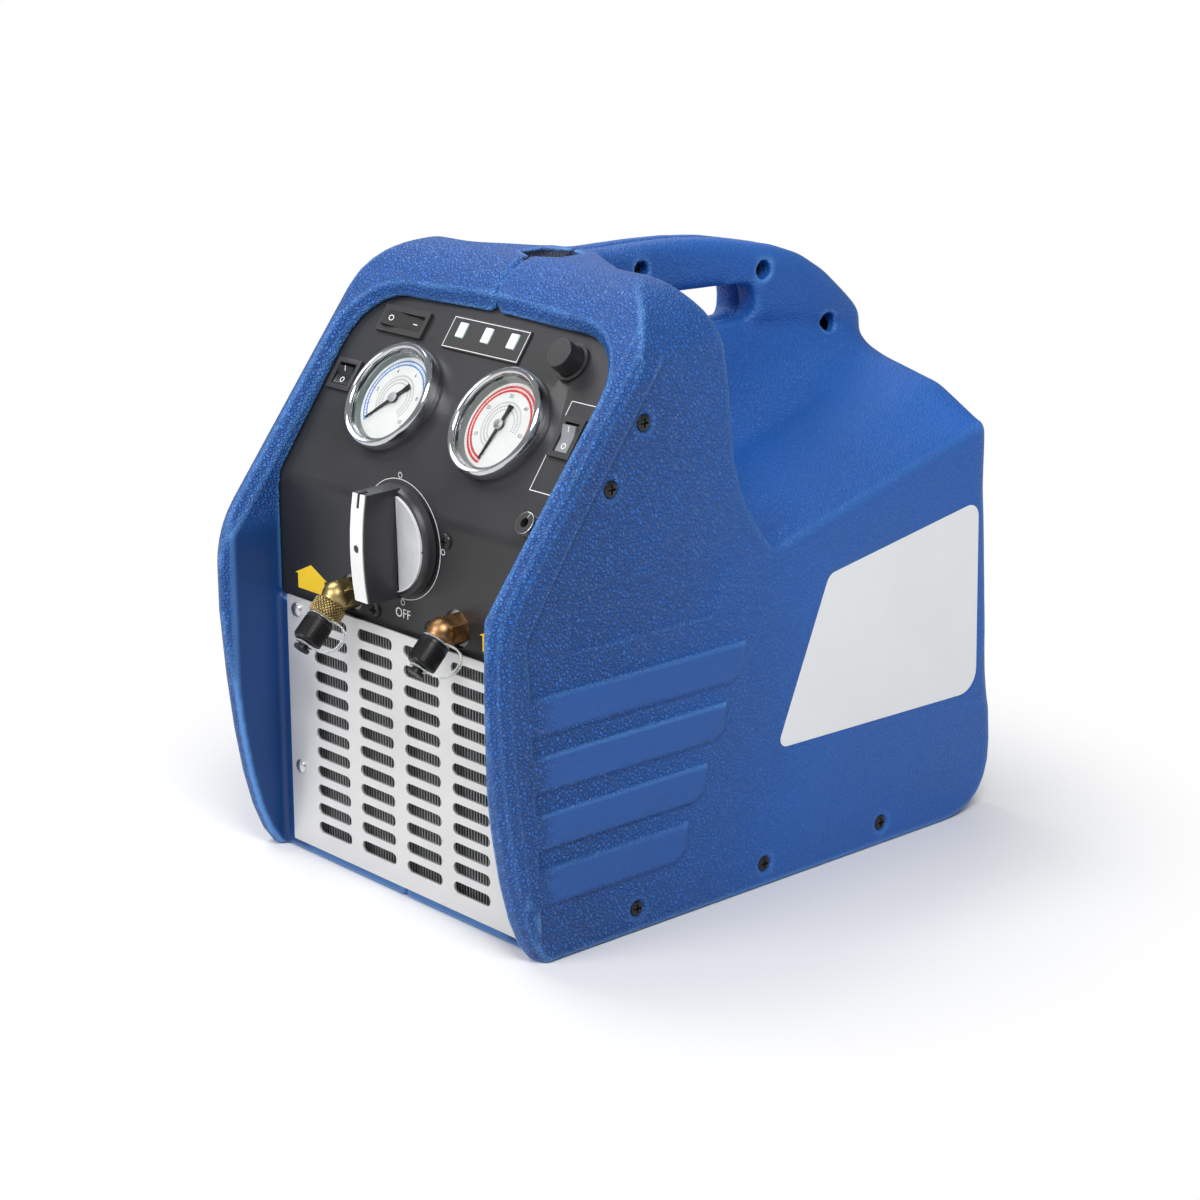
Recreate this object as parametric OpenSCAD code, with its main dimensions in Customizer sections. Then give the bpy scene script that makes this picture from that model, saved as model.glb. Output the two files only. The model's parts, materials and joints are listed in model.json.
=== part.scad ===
// Portable refrigerant recovery machine.
// Two moulded housing halves with a carrying handle close round a chassis with a
// motor-driven compressor, a fan-cooled condenser, a valve block and a control panel.
// Frame: X to the right, Y to the back, Z up. Origin under the middle, on the floor.

/* [Housing] */
// Overall width across the front rims
body_w = 253; // [249:1:259]
// Overall length from the front rim to the tail
body_l = 393; // [389:1:399]
// Height of the handle above the floor
body_h = 350; // [347:1:354]
// Wall thickness of the mouldings
wall = 4.5; // [3.5:0.5:5.5]
// Thickness of the housing floor
floor_t = 5; // [4:0.5:6]
// How far the side faces lie inside the front rims
side_inset = 2.5; // [2:0.5:3.5]
// Width of the rim face between the side and the front opening
rim_w = 16; // [14:0.5:18]
// Depth of the bevel that runs round the front opening
rim_bevel = 5.4; // [4.4:0.2:6.4]
// Depth of the rounding on the outer edge of the rims
rim_round = 9; // [6:0.5:10]
// Width of the rim band on the side faces
rim_band = 28; // [25:1:31]
// Rake of the front rim from the vertical
rim_rake = 37.4; // [36.8:0.2:38]
// Radius of the upright corners at the tail
rear_r = 10; // [8:1:16]
// Radius of the upper corners of the tower
tower_r = 46; // [38:1:54]
// Height of the shoulder at the tower
shoulder_z = 197; // [193:1:200]
// Height of the roof ridge under the handle
ridge_z = 297; // [294:1:299]
// Height of each raised band on the side faces
rib_h = 19; // [16:1:22]
// Pitch of the raised bands
rib_pitch = 31.5; // [29:0.5:33]
// How far the bands stand out from the side faces
rib_t = 2; // [1:0.25:2]

/* [Handle] */
// Width of the handle
handle_w = 36; // [32:1:40]
// Thickness of the handle over the hand hole
handle_t = 32; // [29:1:34]
// Radius of the handle's edges
handle_r = 9; // [6:1:11]

/* [Control panel] */
// Depth of the control panel behind the front of the rims
recess_d = 39.4; // [38:0.2:41]
// Thickness of the panel sheet
panel_t = 2.5; // [2:0.5:3]
// Rake of the upper panel from the vertical
panel_rake = 35; // [34.6:0.1:35.4]
// Height of the bend line above the floor
bend_z = 222; // [220:0.5:224]
// Radius of the bend at the front face
bend_r = 14; // [10:1:16]
// How far the panel's edges reach behind the lip of the opening
panel_lap = 4; // [3:0.5:5]

/* [Grille and condenser] */
// Gap between the grille plate and the lip of the opening
grille_side = 9; // [6.5:0.5:11.5]
// Thickness of the grille plate
grille_t = 1.5; // [1:0.25:2]
// Slots in a row
slot_cols = 4; // [3:1:4]
// Rows of slots
slot_rows = 12; // [9:1:12]
// Pitch of the slots across
slot_px = 40.8; // [39:0.2:42]
// Pitch of the slot rows
slot_pz = 11.37; // [10.6:0.01:11.4]
// Length of a slot
slot_l = 31; // [27:1:34]
// Height of a slot
slot_h = 6.6; // [5:0.2:7.4]
// Thickness of the condenser core
coil_t = 28; // [24:1:30]
// Pitch of the condenser fins
fin_pitch = 4; // [3.6:0.2:6]

/* [Gauges] */
// Outer radius of the gauge bezels
bezel_r = 32; // [30:0.5:33]
// Radius of the gauge cases behind the panel
case_r = 28; // [26:0.5:28]
// Distance between the two gauges
gauge_gap = 90.6; // [88:0.2:94]
// Radius of the needle spindles
needle_pin_r = 1.2; // [1:0.1:1.5]

/* [Controls] */
// Radius of the function knob's disc
knob_r = 31; // [28:0.5:32]
// Width of the knob's grip bar
grip_w = 12.5; // [11:0.5:15]
// Height of the grip bar over the disc
grip_h = 23; // [20:1:25]
// Radius of the valve spindle
spindle_r = 4; // [3.5:0.25:5]
// Radius of the start button
button_r = 8.5; // [7.5:0.25:9]
// Travel of the start button
button_travel = 3.5; // [2.5:0.25:4]
// Tilt of a rocker either side of level
rocker_tilt = 10; // [8:0.5:11]

/* [Service ports] */
// Distance between the two ports
port_gap = 92.2; // [90:0.2:96]
// Radius of the flare thread
flare_r = 5.55; // [5.2:0.05:5.9]
// Outer radius of the caps
cap_r = 8.5; // [8:0.25:9]
// Length of the caps
cap_l = 15.5; // [14:0.5:15.5]
// Outer radius of the inlet filter
filter_r = 9.5; // [9:0.25:10]
// Length of the inlet filter
filter_l = 9.5; // [8.5:0.5:9.5]

/* [Drive] */
// Radius of the motor
motor_r = 52; // [46:1:56]
// Length of the motor
motor_l = 112; // [100:1:116]
// Radius of the drive shaft
shaft_r = 6; // [5:0.25:7]
// Radius of the fan
fan_r = 60; // [54:1:62]
// Number of fan blades
fan_blades = 5; // [4:1:7]
// Height of the cooled cylinder over the crankcase
cylinder_l = 58; // [50:1:62]
// Radius of the copper lines
line_r = 4; // [3:0.25:4.5]

/* [Hidden] */
$fn = 48;

// Fits shared by the pieces that meet
run_gap = 0.05;
seat_gap = 0.3;
eps = 0.5;

// Frame of the housing
half_w = body_w / 2;
side_x = half_w - side_inset;
inner_x = side_x - wall;
front_y = -189;
rear_y = front_y + body_l;
lip_x = half_w - rim_w;
rim_z = 194;
lip_y = front_y + rim_bevel;
lip_len = 162;
rim_corner = 36;
handle_hw = handle_w / 2;
hole_top = body_h - handle_t;
hole_front = -24;
hole_rear = 102;
shoulder_rise = 0.262;
knee_rise = 0.305;
knee_x = 85;

// Frame of the panel: y of its lower face, and the raked plane above the bend
panel_y = front_y + recess_d;
panel_z0 = 152;
panel_hw = lip_x + panel_lap;
panel_top = 124.5;
grille_y = panel_y - 4.4;
grille_z0 = 6;
grille_z1 = 154;
grille_hw = lip_x - grille_side;
ledge_y0 = grille_y + grille_t;
ledge_y1 = panel_y + panel_t;
ledge_x = grille_hw - 13.5;
base_z = floor_t + 2.5;
slot_z1 = 145.6;
inlet_y = rear_y - 10;

// Places of the controls: x, and distance up the raked panel
gauge_s = 59;
gauge_x = gauge_gap / 2;
beside = gauge_x + bezel_r;
side_room = lip_x - beside;
mode_w = 13;
breaker_w = 17;
power_at = [41.5 - lip_x, 103.5];
mode_at = [beside + mode_w / 2 + 0.604 * (side_room - mode_w), 61.5];
breaker_at = [-beside - breaker_w / 2 - 0.66 * (side_room - breaker_w), 65.5];
start_at = [lip_x - 36.8, 102];
strip_at = [2, 104];
knob_z = 206;
jack_at = [lip_x - 11.5, 11.5];
port_x = port_gap / 2;
port_z = 166;
neck_l = 10;
elbow_l = 5;

// Places of the drive
shaft_z = 76;
coil_y0 = panel_y + panel_t + 0.1;
coil_y1 = coil_y0 + coil_t;
coil_hw = ledge_x - 2;
coil_z1 = 152.5;
shroud_y1 = coil_y1 + 31;
fan_y = coil_y1 + 16;
motor_y0 = -72;
motor_y1 = motor_y0 + motor_l;
crank_y1 = motor_y1 + 90;
crank_z1 = 122;
crank_hw = 45;
cyl_y = motor_y1 + 46;
head_z0 = crank_z1 + cylinder_l;
head_hw = 38;
head_t = 22;
line_z = head_z0 + head_t / 2;
block_y1 = panel_y + panel_t + 31;
block_hw = 58;
block_z0 = 156;
block_z1 = bend_z - bend_r * tan(panel_rake / 2) - 1;

// Screw places: y and z on the sides, x and z on the front
tower_screws = [[-86.4, 281.2], [-109.2, 249.7]];
foot_screws = [[-89.6, 13.2], [7.7, 13.2], [103.8, 13.2]];
grip_screws = [[11, hole_top + 17], [106, hole_top + 7], [159, 288]];
plate_screws = [[grille_hw - 9.5, 147], [grille_hw - 9.5, 53]];
valve_screws = [[38.6, block_z1 - 4], [24, 161]];

// Plain helpers
function arc(c, r, a0, a1, n = 8) =
    [for (i = [0:n]) c + r * [cos(a0 + (a1 - a0) * i / n), sin(a0 + (a1 - a0) * i / n)]];
function bend(a, b, c, n = 6) =
    [for (i = [0:n]) let (t = i / n) a * (1 - t) * (1 - t) + 2 * b * t * (1 - t) + c * t * t];
function unit(v) = v / norm(v);
// Corner b of the path a, b, c rounded with radius r
function corner(a, b, c, r, n = 6) =
    let (u = unit(a - b), v = unit(c - b), m = unit(u + v), k = acos(u * v) / 2,
         o = b + m * r / sin(k), p = b + u * r / tan(k), q = b + v * r / tan(k),
         a0 = atan2(p[1] - o[1], p[0] - o[0]), a1 = atan2(q[1] - o[1], q[0] - o[0]),
         d = (a1 - a0 + 540) % 360 - 180)
    arc(o, r, a0, a0 + d, n);
function rounded(pts, r, n = 6) = [for (i = [0:len(pts) - 1])
    each corner(pts[(i + len(pts) - 1) % len(pts)], pts[i], pts[(i + 1) % len(pts)], r, n)];
function box_path(w, h, r, n = 5) =
    rounded([[-w / 2, -h / 2], [w / 2, -h / 2], [w / 2, h / 2], [-w / 2, h / 2]], r, n);
function raked(s, n = 0) = [panel_y + s * sin(panel_rake) - n * cos(panel_rake),
    bend_z + s * cos(panel_rake) + n * sin(panel_rake)];
function shoulder(y) = shoulder_z + shoulder_rise * (y - 12);
function knee(y) = shoulder_z + 21 + knee_rise * (y - 41);

// Side outlines are drawn in Y and Z and run along X; front outlines run along Y
module along_x(x0, x1) {
    translate([x0, 0, 0]) rotate([90, 0, 90]) linear_extrude(x1 - x0) children();
}
module along_y(y0, y1) {
    translate([0, y1, 0]) rotate([90, 0, 0]) linear_extrude(y1 - y0) children();
}
// Local frames on the panel: Z points out of the panel, Y points up it
module on_front(x, z) {
    translate([x, panel_y, z]) rotate([90, 0, 0]) children();
}
module on_rake(x, s) {
    translate([x, raked(s)[0], raked(s)[1]]) rotate([90 - panel_rake, 0, 0]) children();
}
// Local frame of the raked rim: Z points out of the plane of the lip
module on_rim() {
    translate([0, lip_y + 2, rim_z]) rotate([90 - rim_rake, 0, 0]) children();
}
// A round bar along X from x0 to x1 at a place in Y and Z
module bar_x(p, r, x0, x1) {
    translate([x0, p[0], p[1]]) rotate([0, 90, 0]) cylinder(r = r, h = x1 - x0);
}

// Outline of the front rim, seen from the side
kink_z = 193;
crest_kink = [front_y, kink_z];
crest_top = [front_y + (body_h - kink_z) * tan(rim_rake), body_h];
crest = concat(
    bend([front_y + 32, 0], [front_y + 8, 22], [front_y, 147]),
    corner([front_y, 147], crest_kink, crest_top, 60, 5),
    corner(crest_kink, crest_top, [crest_top[0] + 60, body_h], 34, 5));
// Back edge of the tower, from the crown down to the shoulder
tower_back = [[-46, body_h - 2], [-34, body_h - 18], [-27, 313], [-23, 290], [-21, 270], [-18.5, 251],
    [-14, 236], [-7.6, 222], [2, 209], [12, shoulder_z]];
tower_path = concat(crest, tower_back, [[12, 0]]);
band_path = concat(crest, [[front_y + rim_band + 92, 320], [front_y + rim_band + 24, 229],
    [front_y + rim_band - 8, 180], [front_y + rim_band - 6, 156], [front_y + rim_band + 2, 0]]);
tail_path = concat(bend([rear_y - 38, 0], [rear_y + 2, 2], [rear_y, 42]),
    bend([rear_y - 1.5, 62], [rear_y - 7, 82], [rear_y - 7.5, 112]),
    [[rear_y - 14, 200], [rear_y - 15, body_h]]);
low_path = [[-140, -1], [rear_y + 10, -1], [rear_y + 10, shoulder(rear_y - 20) - 48],
    [rear_y - 20, shoulder(rear_y - 20)], [12, shoulder_z], [-60, shoulder(-60)], [-140, 170]];
cavity_path = [[ledge_y1, floor_t], [rear_y - 34, floor_t], [rear_y - 13, 20], [rear_y - 8, 42],
    [rear_y - 12.5, 92], [rear_y - 19, 200], [rear_y - 21, 220], [12, shoulder_z - 7],
    [-30, 180], [ledge_y1, 180]];
panel_path = let (c = [panel_y + bend_r, bend_z - bend_r * tan(panel_rake / 2)]) concat(
    [[panel_y, panel_z0]], arc(c, bend_r, 180, 180 - panel_rake), [raked(panel_top)],
    [raked(panel_top, -panel_t)], arc(c, bend_r - panel_t, 180 - panel_rake, 180),
    [[panel_y + panel_t, panel_z0]]);

// Outline of the raked opening, widened by g, in the frame of the rim
module opening(g = 0) {
    w = lip_x + g;
    h = lip_len + g;
    polygon(concat([[-w, -34], [w, -34]], corner([w, -34], [w, h - 3], [0, h], rim_corner + g),
        [[5, h - 0.5], [1.5, h + 2], [-1.5, h + 2], [-5, h - 0.5]],
        corner([0, h], [-w, h - 3], [-w, -34], rim_corner + g)));
}
// Roof: a narrow wall under the handle, hollowed out to a flat terrace, then a knee and a band to the shoulder
function roof_ring(y, drop, pull) = let (k = shoulder(y) - drop, w = side_x - pull, n = knee(y) - drop,
    c = drop > 0 ? 4 : 0, q = ridge_z - drop - n - 9.5,
    h = [[w, 150], [w, k - 10], [w - 6, k + 1], [knee_x, n], [66 - c, n + 5], [46 - c, n + 9.5],
        [32 - c, n + 9.5 + 0.2 * q], [24 - c, n + 9.5 + 0.46 * q], [18 - c, n + 9.5 + 0.8 * q],
        [13 - c, ridge_z - drop]])
    [for (p = concat([for (p = h) [-p[0], p[1]]], [for (i = [9:-1:0]) h[i]])) [p[0], y, p[1]]];
module roof(drop, pull, y0, y1, top = body_h) {
    loft(concat([for (i = [0:12]) roof_ring(y0 + (y1 - 14 - y0) * i / 12, drop, pull)],
        [roof_ring(y1 - 5, drop + 3, pull + 1)],
        [[for (p = roof_ring(y1, drop + 9, pull + 4)) [p[0], y1, min(p[2], top)]]]));
}
// Solid through a row of rings with equal numbers of points, each running clockwise seen from the front
module loft(rings) {
    n = len(rings[0]);
    m = len(rings);
    polyhedron([for (r = rings) each r],
        concat([[for (j = [0:n - 1]) j]], [[for (j = [n - 1:-1:0]) (m - 1) * n + j]],
            [for (i = [0:m - 2], j = [0:n - 1]) let (k = (j + 1) % n)
                each [[i * n + j, (i + 1) * n + j, i * n + k],
                      [i * n + k, (i + 1) * n + j, (i + 1) * n + k]]]));
}

// Outline of the rear body seen from above, with its rear wall at y
function plan_ring(y, z) = [for (p = concat([[-side_x, -150], [side_x, -150]],
    corner([side_x, -150], [side_x, y], [0, y], rear_r),
    corner([0, y], [-side_x, y], [-side_x, -150], rear_r))) [p[0], p[1], z]];

// The handle is swept through stations of y, top, bottom, half width and what its edge radius gains
function handle_ring(q) = let (w = q[3], r = min(handle_r + q[4], (q[1] - q[2]) / 2 - 0.5))
    [for (p = concat(arc([w - r, q[1] - r], r, 90, 0, 4), arc([w - r, q[2] + r], r, 0, -90, 4),
        arc([r - w, q[2] + r], r, 270, 180, 4), arc([r - w, q[1] - r], r, 180, 90, 4)))
        [p[0], q[0], p[1]]];
handle_stations = [
    [-54, body_h - 0.6, hole_top - 8, handle_hw + 4, 0], [-38, body_h - 0.4, hole_top - 8, handle_hw + 2, 0],
    [-18, body_h - 0.5, hole_top - 4, handle_hw, 0], [0, body_h - 0.2, hole_top, handle_hw - 1, 0],
    [22, body_h, hole_top, handle_hw - 2, 0], [48, body_h - 1, hole_top, handle_hw - 2, 0],
    [74, body_h - 3.5, hole_top - 1, handle_hw - 1, 0], [98, body_h - 8, ridge_z - 4, handle_hw, 0],
    [121, body_h - 12.5, ridge_z - 8, handle_hw + 1, 1], [142, body_h - 19.5, ridge_z - 12, handle_hw + 2, 2],
    [160, body_h - 30, ridge_z - 15, handle_hw + 3, 3], [174, body_h - 41, ridge_z - 18, handle_hw + 3, 4],
    [184, body_h - 50, ridge_z - 22, handle_hw + 3, 5], [188, body_h - 55, ridge_z - 22, handle_hw + 2, 5],
    [189.4, body_h - 59, ridge_z - 20, handle_hw, 5]];
module handle() { loft([for (q = handle_stations) handle_ring(q)]); }

// Root of the handle in the crown, lofted upwards through outlines seen from above
function root_ring(z, h) = [for (p = concat([for (i = [3:-1:0]) [-h[i][0], h[i][1]]], h)) [p[0], p[1], z]];
module crown_root() {
    loft([root_ring(body_h - 36, [[70, -72], [56, -46], [34, -38], [18, -31]]),
        root_ring(body_h - 10, [[76, -64], [52, -37], [34, -27], [20, -19]]),
        root_ring(body_h - 2.5, [[74, -57], [50, -38], [33, -29], [19, -21]]),
        root_ring(body_h - 0.2, [[70, -52.5], [47, -42], [31, -33], [16, -25]])]);
}

// Outer skin of both halves together
module skin() {
    intersection() {
        union() {
            along_x(-side_x, side_x) polygon(tower_path);
            along_x(-half_w, half_w) polygon(band_path);
        }
        hull() for (k = [[0, 1], [0.35, 0.35], [1, 0]]) let (x = half_w - rim_round * k[1])
            along_x(-x, x) polygon(concat([for (p = crest) p + [rim_round * k[0], 0]], [[60, body_h], [60, 0]]));
        along_y(front_y - 5, 40)
            polygon(concat([[-half_w, 0], [half_w, 0]], arc([half_w - tower_r, body_h - tower_r], tower_r, 0, 90),
                arc([tower_r - half_w, body_h - tower_r], tower_r, 90, 180)));
    }
    intersection() {
        union() {
            along_x(-half_w, half_w) polygon(low_path);
            roof(0, -2, -46, rear_y - 14);
        }
        loft([for (p = tail_path) plan_ring(p[0], p[1])]);
    }
    handle();
    crown_root();
    for (m = [0, 1]) mirror([m, 0, 0]) side_ribs();
}
// Raised bands on a side face, ending on a slanting line
module side_ribs() {
    for (i = [0:3]) let (z1 = 148 - i * rib_pitch, y1 = -12 - 14 * i, y0 = front_y + rim_band - 8)
        along_x(side_x - 1, side_x + rib_t)
            polygon([[y0, z1 - rib_h], [y1 - 9, z1 - rib_h], [y1 - 2, z1 - rib_h + 4], [y1, z1], [y0, z1]]);
}
// The space inside both halves, behind the panel and the grille
module hollow() {
    along_x(-inner_x, inner_x) polygon(cavity_path);
    intersection() {
        along_x(-inner_x, inner_x) polygon(concat([[panel_y + panel_t, panel_z0], raked(0, -panel_t),
            raked(panel_top, -panel_t), [-66, body_h - 10]],
            [for (p = tower_back) p - [7, 6]], [[4, 150]]));
        along_y(front_y, 40) polygon(concat([[-inner_x, 0], [inner_x, 0]],
            arc([half_w - tower_r, body_h - tower_r], tower_r - 7, 0, 90),
            arc([tower_r - half_w, body_h - tower_r], tower_r - 7, 90, 180)));
    }
    roof(6, wall, -34, rear_y - 22, 200);
}
// Everything cut away in front of the panel and the grille
module front_recess() {
    translate([-lip_x, front_y - 10, -1]) cube([2 * lip_x, ledge_y0 - front_y + 10, bend_z + 1]);
    translate([-lip_x, front_y - 10, panel_z0 - eps])
        cube([2 * lip_x, panel_y - front_y + 10, bend_z - panel_z0]);
    translate([-ledge_x, front_y, floor_t]) cube([2 * ledge_x, 60, panel_z0 - floor_t]);
    on_rim() translate([0, 0, -9]) linear_extrude(80) opening();
    hull() on_rim() {
        translate([0, 0, -0.4]) linear_extrude(0.1) opening(-0.4);
        translate([0, 0, rim_bevel + 6]) linear_extrude(0.1) opening(rim_bevel + 6);
    }
    translate([0, 0, -1]) linear_extrude(rim_z) polygon([[-lip_x, lip_y], [lip_x, lip_y],
        [lip_x + rim_bevel + 8, lip_y - rim_bevel - 8], [-lip_x - rim_bevel - 8, lip_y - rim_bevel - 8]]);
    intersection() {
        along_x(-panel_hw - seat_gap, panel_hw + seat_gap) polygon(panel_path);
        on_rake(0, 0) translate([0, 0, -150]) linear_extrude(300) panel_outline(seat_gap);
    }
}
// Outline of the panel in the frame of its raked part
module panel_outline(g = 0) {
    w = panel_hw + g;
    h = panel_top + g;
    polygon(concat([[-w, -200], [w, -200]], corner([w, -200], [w, h], [0, h], rim_corner + panel_lap + g),
        corner([0, h], [-w, h], [-w, -200], rim_corner + panel_lap + g)));
}
// One half of the housing; side is 1 for the right half and -1 for the left half
module housing_half(side) {
    difference() {
        intersection() {
            union() {
                difference() {
                    skin();
                    hollow();
                }
                for (p = tower_screws) bar_x(p, 6, inner_x - 12, side_x - 1);
                for (p = tower_screws) bar_x(p, 6, 1 - side_x, 12 - inner_x);
            }
            translate([side > 0 ? 0 : -half_w - 5, front_y - 5, -5])
                cube([half_w + 5, body_l + 10, body_h + 10]);
        }
        front_recess();
        // hand hole under the handle
        along_x(-half_w, half_w) polygon(rounded([[hole_front, ridge_z], [hole_rear, ridge_z],
            [hole_rear - 3, hole_top], [hole_front, hole_top]], 8));
        // pocket in the crown, on the seam
        translate([0, -42, body_h - 4.2]) linear_extrude(20)
            polygon([[-15, -9], [0, -15], [15, -9], [15, 9], [0, 15], [-15, 9]]);
        // place of the badge, left bare
        along_x(side > 0 ? side_x - 1 : -side_x - 9, side > 0 ? side_x + 9 : 1 - side_x)
            polygon(rounded([[-138, 168], [-31, 168], [-28, 199], [-138, 199]], 5));
        // vents in the rear wall
        for (i = [0:4]) translate([side > 0 ? 25 : -95, rear_y - 30, 132 + 13 * i]) cube([70, 60, 6]);
        for (p = tower_screws) side_hole(p, side, 1.9, 24);
        for (p = foot_screws) side_hole(p, side, 2.3, 20);
        for (p = plate_screws) on_front(side * p[0], p[1]) translate([0, 0, -8]) cylinder(r = 1.9, h = 20);
        for (p = grip_screws) {
            bar_x(p, 1.9, -12, half_w);
            bar_x(p, 5.6, 8, half_w);
        }
        if (side > 0) along_x(side_x - 0.6, half_w + 5) polygon(label_path(0.2));
        if (side < 0) inlet_cut();
    }
}
// Screw hole with a recess for the head, in one side face
module side_hole(p, side, r, depth) {
    mirror([side > 0 ? 0 : 1, 0, 0]) {
        bar_x(p, r, side_x - depth, half_w + 5);
        bar_x(p, 5.2, side_x - 2.6, half_w + 5);
    }
}
function label_path(g = 0) =
    let (a = [15.6 - g, 79.8 - g], b = [184 + g, 77 - g], c = [180 + g, 194.5 + g], d = [54.7 - g, 173.6 + g])
    concat(corner(d, a, b, 5), corner(a, b, c, 14), corner(b, c, d, 8), corner(c, d, a, 8));
module inlet_cut() {
    translate([-96, inlet_y, 88]) cube([56, 40, 34]);
    translate([-85, rear_y - 60, 91]) cube([34, 80, 28]);
}

module left_housing() { color("royalblue") housing_half(-1); }
module right_housing() { color("royalblue") housing_half(1); }
// Blank white label on the right side
module side_label() {
    color("white") along_x(side_x - 0.6, side_x) polygon(label_path());
}

// Bent panel sheet with its holes
module control_panel() {
    color([0.13, 0.13, 0.14]) difference() {
        intersection() {
            along_x(-panel_hw, panel_hw) polygon(panel_path);
            on_rake(0, 0) translate([0, 0, -150]) linear_extrude(300) panel_outline();
        }
        for (x = [-gauge_x, gauge_x]) on_rake(x, gauge_s) drill(case_r + 0.3);
        on_rake(power_at[0], power_at[1]) window(36.4, 12.4);
        on_rake(mode_at[0], mode_at[1]) window(mode_w + 0.4, 19.4);
        on_rake(breaker_at[0], breaker_at[1]) window(breaker_w + 0.4, 15.4);
        on_rake(start_at[0], start_at[1]) drill(button_r + 1.3);
        for (x = [-1:1]) on_rake(strip_at[0] + x * 21.5, strip_at[1] + 2) window(6.8, 9.4);
        on_front(0, knob_z) drill(spindle_r + 1);
        for (x = [-port_x, port_x]) on_front(x, port_z) drill(10.6);
        on_rake(jack_at[0], jack_at[1]) drill(4.2);
        for (p = valve_screws, m = [-1, 1]) on_front(m * p[0], p[1]) drill(2.2);
    }
}
module drill(r) { translate([0, 0, -20]) cylinder(r = r, h = 40); }
module window(w, h) { translate([-w / 2, -h / 2, -20]) cube([w, h, 40]); }

// Sheet with rows of long slots in front of the condenser
module grille_plate() {
    color("silver") difference() {
        along_y(grille_y, ledge_y0) difference() {
            polygon([[-grille_hw, grille_z0], [grille_hw, grille_z0], [grille_hw, grille_z1],
                [-grille_hw, grille_z1]]);
            for (i = [0:slot_cols - 1], j = [0:slot_rows - 1])
                translate([(i - (slot_cols - 1) / 2) * slot_px, slot_z1 - j * slot_pz])
                    polygon(box_path(slot_l, slot_h, slot_h / 2 - 0.2, 4));
        }
        for (p = plate_screws, m = [-1, 1]) on_front(m * p[0], p[1]) drill(2.2);
    }
}

// Finned core with header plates and return bends
module condenser_coil() {
    color("darkgray") {
        difference() {
            translate([-coil_hw, coil_y0, base_z]) cube([2 * coil_hw, coil_t, coil_z1 - base_z]);
            for (x = [-coil_hw + fin_pitch : fin_pitch : coil_hw - fin_pitch])
                translate([x - fin_pitch * 0.3, coil_y0 - 1, base_z + 4])
                    cube([fin_pitch * 0.6, 7, coil_z1 - base_z - 8]);
        }
        for (m = [0, 1], i = [0:4]) mirror([m, 0, 0])
            translate([coil_hw - 0.5, (coil_y0 + coil_y1) / 2 + 5, 28 + 24 * i + 6 * m]) rotate([90, 0, 0])
                rotate_extrude(angle = 180) translate([7, 0]) circle(r = 3, $fn = 24);
    }
}

// Sheet tray that carries the machinery; its side flanges take the foot screws
module base_plate() {
    w = inner_x - seat_gap;
    color("slategray") difference() {
        union() {
            translate([-w, ledge_y1 + 0.1, floor_t]) cube([2 * w, rear_y - 40 - ledge_y1, base_z - floor_t]);
            for (m = [-1, 1]) translate([m > 0 ? w - 2.5 : -w, ledge_y1 + 0.1, floor_t])
                cube([2.5, rear_y - 40 - ledge_y1, 18]);
        }
        for (p = foot_screws) bar_x(p, 2.3, -half_w, half_w);
    }
}

// Square plate and round duct between condenser and fan
module fan_shroud() {
    color("dimgray") difference() {
        union() {
            translate([-coil_hw, coil_y1, base_z]) cube([2 * coil_hw, 2.5, coil_z1 - base_z]);
            translate([0, shroud_y1, shaft_z]) rotate([90, 0, 0]) cylinder(r = fan_r + 6, h = shroud_y1 - coil_y1);
        }
        translate([0, shroud_y1 + 1, shaft_z]) rotate([90, 0, 0])
            cylinder(r = fan_r + 3, h = shroud_y1 - coil_y1 + 2);
    }
}
// Axial fan pressed on the front end of the shaft
module fan() {
    color("black") difference() {
        union() {
            translate([0, fan_y + 10, shaft_z]) rotate([90, 0, 0]) cylinder(r = 17, h = 20);
            intersection() {
                translate([0, fan_y + 10, shaft_z]) rotate([90, 0, 0]) cylinder(r = fan_r, h = 20);
                for (i = [0:fan_blades - 1]) translate([0, fan_y, shaft_z]) rotate([0, i * 360 / fan_blades, 0])
                    translate([14, 0, 0]) rotate([32, 0, 0])
                        translate([0, -1, -17]) cube([fan_r, 2, 34]);
            }
        }
        translate([0, fan_y + 12, shaft_z]) rotate([90, 0, 0]) cylinder(r = shaft_r, h = 30);
    }
}
module drive_shaft() {
    color("gainsboro") translate([0, motor_y1 + 16, shaft_z]) rotate([90, 0, 0])
        cylinder(r = shaft_r, h = motor_y1 + 16 - fan_y + 12);
}
// Motor with cooling ribs and a cast foot
module motor() {
    color("dimgray") difference() {
        union() {
            translate([0, motor_y1, shaft_z]) rotate([90, 0, 0]) cylinder(r = motor_r, h = motor_l);
            for (i = [0:2]) translate([0, motor_y0 + motor_l * (0.3 + 0.2 * i) + 3, shaft_z]) rotate([90, 0, 0])
                cylinder(r = motor_r + 3, h = 6);
            translate([0, motor_y0, shaft_z]) rotate([90, 0, 0]) cylinder(r = 18, h = 5);
            translate([-40, motor_y0 + 12, base_z]) cube([80, motor_l - 24, shaft_z - base_z]);
        }
        translate([0, motor_y1 + 1, shaft_z]) rotate([90, 0, 0]) cylinder(r = shaft_r + run_gap, h = motor_l + 20);
    }
}
module crankcase() {
    color("silver") difference() {
        translate([-crank_hw, motor_y1, base_z]) cube([2 * crank_hw, crank_y1 - motor_y1, crank_z1 - base_z]);
        translate([0, motor_y1 + 20, shaft_z]) rotate([90, 0, 0]) cylinder(r = shaft_r + run_gap, h = 30);
    }
}
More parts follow.
